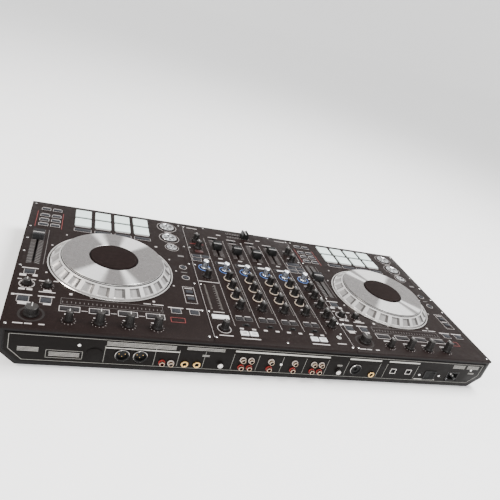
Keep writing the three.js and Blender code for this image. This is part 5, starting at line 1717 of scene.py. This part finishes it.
    def build_round_sockets(self) -> None:
        """Turns the three-pin outputs, jacks, combination socket, terminals and lock cover."""
        outputs = self.at(self.outputs, self.wide_row)
        combination = self.at((self.combination,), self.wide_row)
        inside = self.near(outputs + combination, 10.2)
        outer = self.turn("round_socket_shells", outputs, (
            (10.9, -2.3), (10.9, 2.0), (10.3, 2.6), (8.6, 2.6), (8.2, 2.0), (8.2, -7.5)), 48)
        for x, z in combination:
            outer.turned((x, self.face, z), (
                (10.9, -2.3), (10.9, 2.0), (10.3, 2.6), (9.0, 2.6), (8.6, 0.6), (4.4, 0.4),
                (3.9, -0.4), (3.3, -0.4), (3.3, -16.0)), 48, along_y=True)
        outer.done((SOCKET_BLACK, TIN), which=lambda centre: (
            centre.y > self.face + 1.95 and not inside(centre)))
        pins = [(x + self.pin_circle * math.sin(turn), z - self.pin_circle * math.cos(turn))
                for x, z in outputs for turn in (-math.pi / 2, 0.0, math.pi / 2)]
        self.turn("output_pins", pins, ((1.1, -8.0), (1.1, -2.6), (0.6, -2.0)), 12).done((GOLD,))
        jacks = self.at(self.jacks, self.low_row)
        self.turn("gold_jacks", jacks, (
            (6.1, -2.3), (6.1, 1.8), (5.4, 2.6), (3.9, 2.6), (3.3, 2.1), (3.3, -16.0)), 32).done(
                (GOLD, SOCKET_BLACK), which=self.near(jacks, 3.36))
        self.turn("ground_terminals", self.at(self.terminals, self.terminal_row), (
            (2.0, -2.3), (2.0, 1.0), (4.2, 1.0), (4.6, 1.5), (4.6, 5.0), (4.2, 5.6), (2.0, 5.8),
            (1.8, 6.3)), 24).done((TIN,))
        self.turn("lock_cover", self.at((self.lock,), self.lock_row), (
            (11.9, 0.85), (11.9, 1.1), (11.4, 1.3)), 48).done((PANEL_PAINT,))

    def build_data_sockets(self) -> None:
        """Builds the two square data sockets with their tongues."""
        places = self.at(self.data, self.wide_row)
        shells = Shape("data_socket_shells")
        for x, z in places:
            shells.block((x, self.face - 4.0, z), (12.0, 8.4, 11.0))
        shells.pick(lambda centre, normal: normal.y > 0.9)
        shells.inset(1.0)
        shells.push((0.0, -7.6, 0.0))
        shells.done((TIN, SOCKET_BLACK), which=lambda centre: centre.y < self.face - 0.3)
        tongues = Shape("data_socket_tongues")
        for x, z in places:
            tongues.block((x, self.face - 5.2, z), (5.4, 5.0, 2.6))
        tongues.done((PHONO_WHITE,))

    def build_mains(self) -> None:
        """Builds the inlet's surround and its pins."""
        x, z = self.at((self.inlet,), self.mains_row)[0]
        inlet = Shape("mains_inlet_shell")
        inlet.block((x, self.face - 8.0, z), (26.6, 16.6, 19.6))
        inlet.pick_edges(lambda centre, way: abs(way.y) > 0.8 and centre.z < z)
        inlet.bevel(4.0, 1)
        inlet.pick(lambda centre, normal: normal.y > 0.9)
        inlet.inset(2.2)
        inlet.push((0.0, -13.6, 0.0))
        inlet.done((SOCKET_BLACK,))
        pins = Shape("mains_inlet_pins")
        for across, rise in ((-7.0, -2.0), (0.0, 2.0), (7.0, -2.0)):
            pins.block((x + across, self.face - 9.0, z + rise), (2.0, 9.0, 4.0))
        pins.round_edges(0.4, steps=1, foot=0.0)
        pins.done((TIN,))

    def mark(self, shape: Shape, place: Point, size: Point, depth: float = INK,
             tilt: float = 0.0) -> None:
        """Adds a flat bar at (x, z) on the rear face, with its width and height."""
        (x, z), (width, height) = place, size
        shape.block((x, self.face + depth / 2, z), (width, depth, height), tilt)

    def build_print(self) -> None:
        """Lays the rear panel's frame, dividers and blank label bars, and its screws."""
        shape = Shape("rear_marks")
        for x in self.dividers:
            self.mark(shape, (x, 31.5), (0.55, 32.0))
        half, low, high, foot, knee = 424.0, 13.5, 58.0, 405.0, 32.5
        self.mark(shape, (0.0, high), (2 * half, 0.6))
        self.mark(shape, (0.0, low), (2 * foot, 0.6))
        for way in (-1, 1):
            self.mark(shape, (way * half, (knee + high) / 2), (0.8, high - knee))
            self.mark(shape, (way * (half + foot) / 2, (low + knee) / 2),
                      (math.hypot(half - foot, knee - low), 0.8), tilt=-way * math.pi / 4)
        x, z, width, height = self.plate_box
        for way in (-0.5, 0.5):
            self.mark(shape, (x + way * width, z), (0.6, height))
            self.mark(shape, (x, z + way * height), (width, 0.6))
        shape.done((REAR_INK,))
        labels = Shape("rear_labels")
        for x, z, width, height in self.label_bars:
            self.mark(labels, (x, z), (width, height), depth=0.14)
        for x, z, width, count in self.label_rows:
            for index in range(count):
                self.mark(labels, (x, z - 2.1 * index), (width, 0.7))
        labels.done((LABEL_INK,))
        self.turn("rear_screws", self.screws, (
            (2.4, 0.02), (2.4, 0.5), (1.8, 0.9), (0.8, 0.9), (0.6, 0.4)), 16).done((STEEL,))


def dress_frame() -> None:
    """Gives the CAD nodes that stay in view their finishes."""
    CAN_STEEL.coat_node("power_supply")
    ROCKER.coat_node("power_switch")


def main() -> None:
    """Builds the scene in order."""
    logging.basicConfig(level=logging.INFO, format="%(message)s")
    Camera().build()
    Studio().build()
    dress_frame()
    for side in SIDES:
        Deck(side).build()
    Mixer().build()
    Fixings().build()
    Housing().build()
    RearFace().build()


if __name__ == "__main__":
    main()
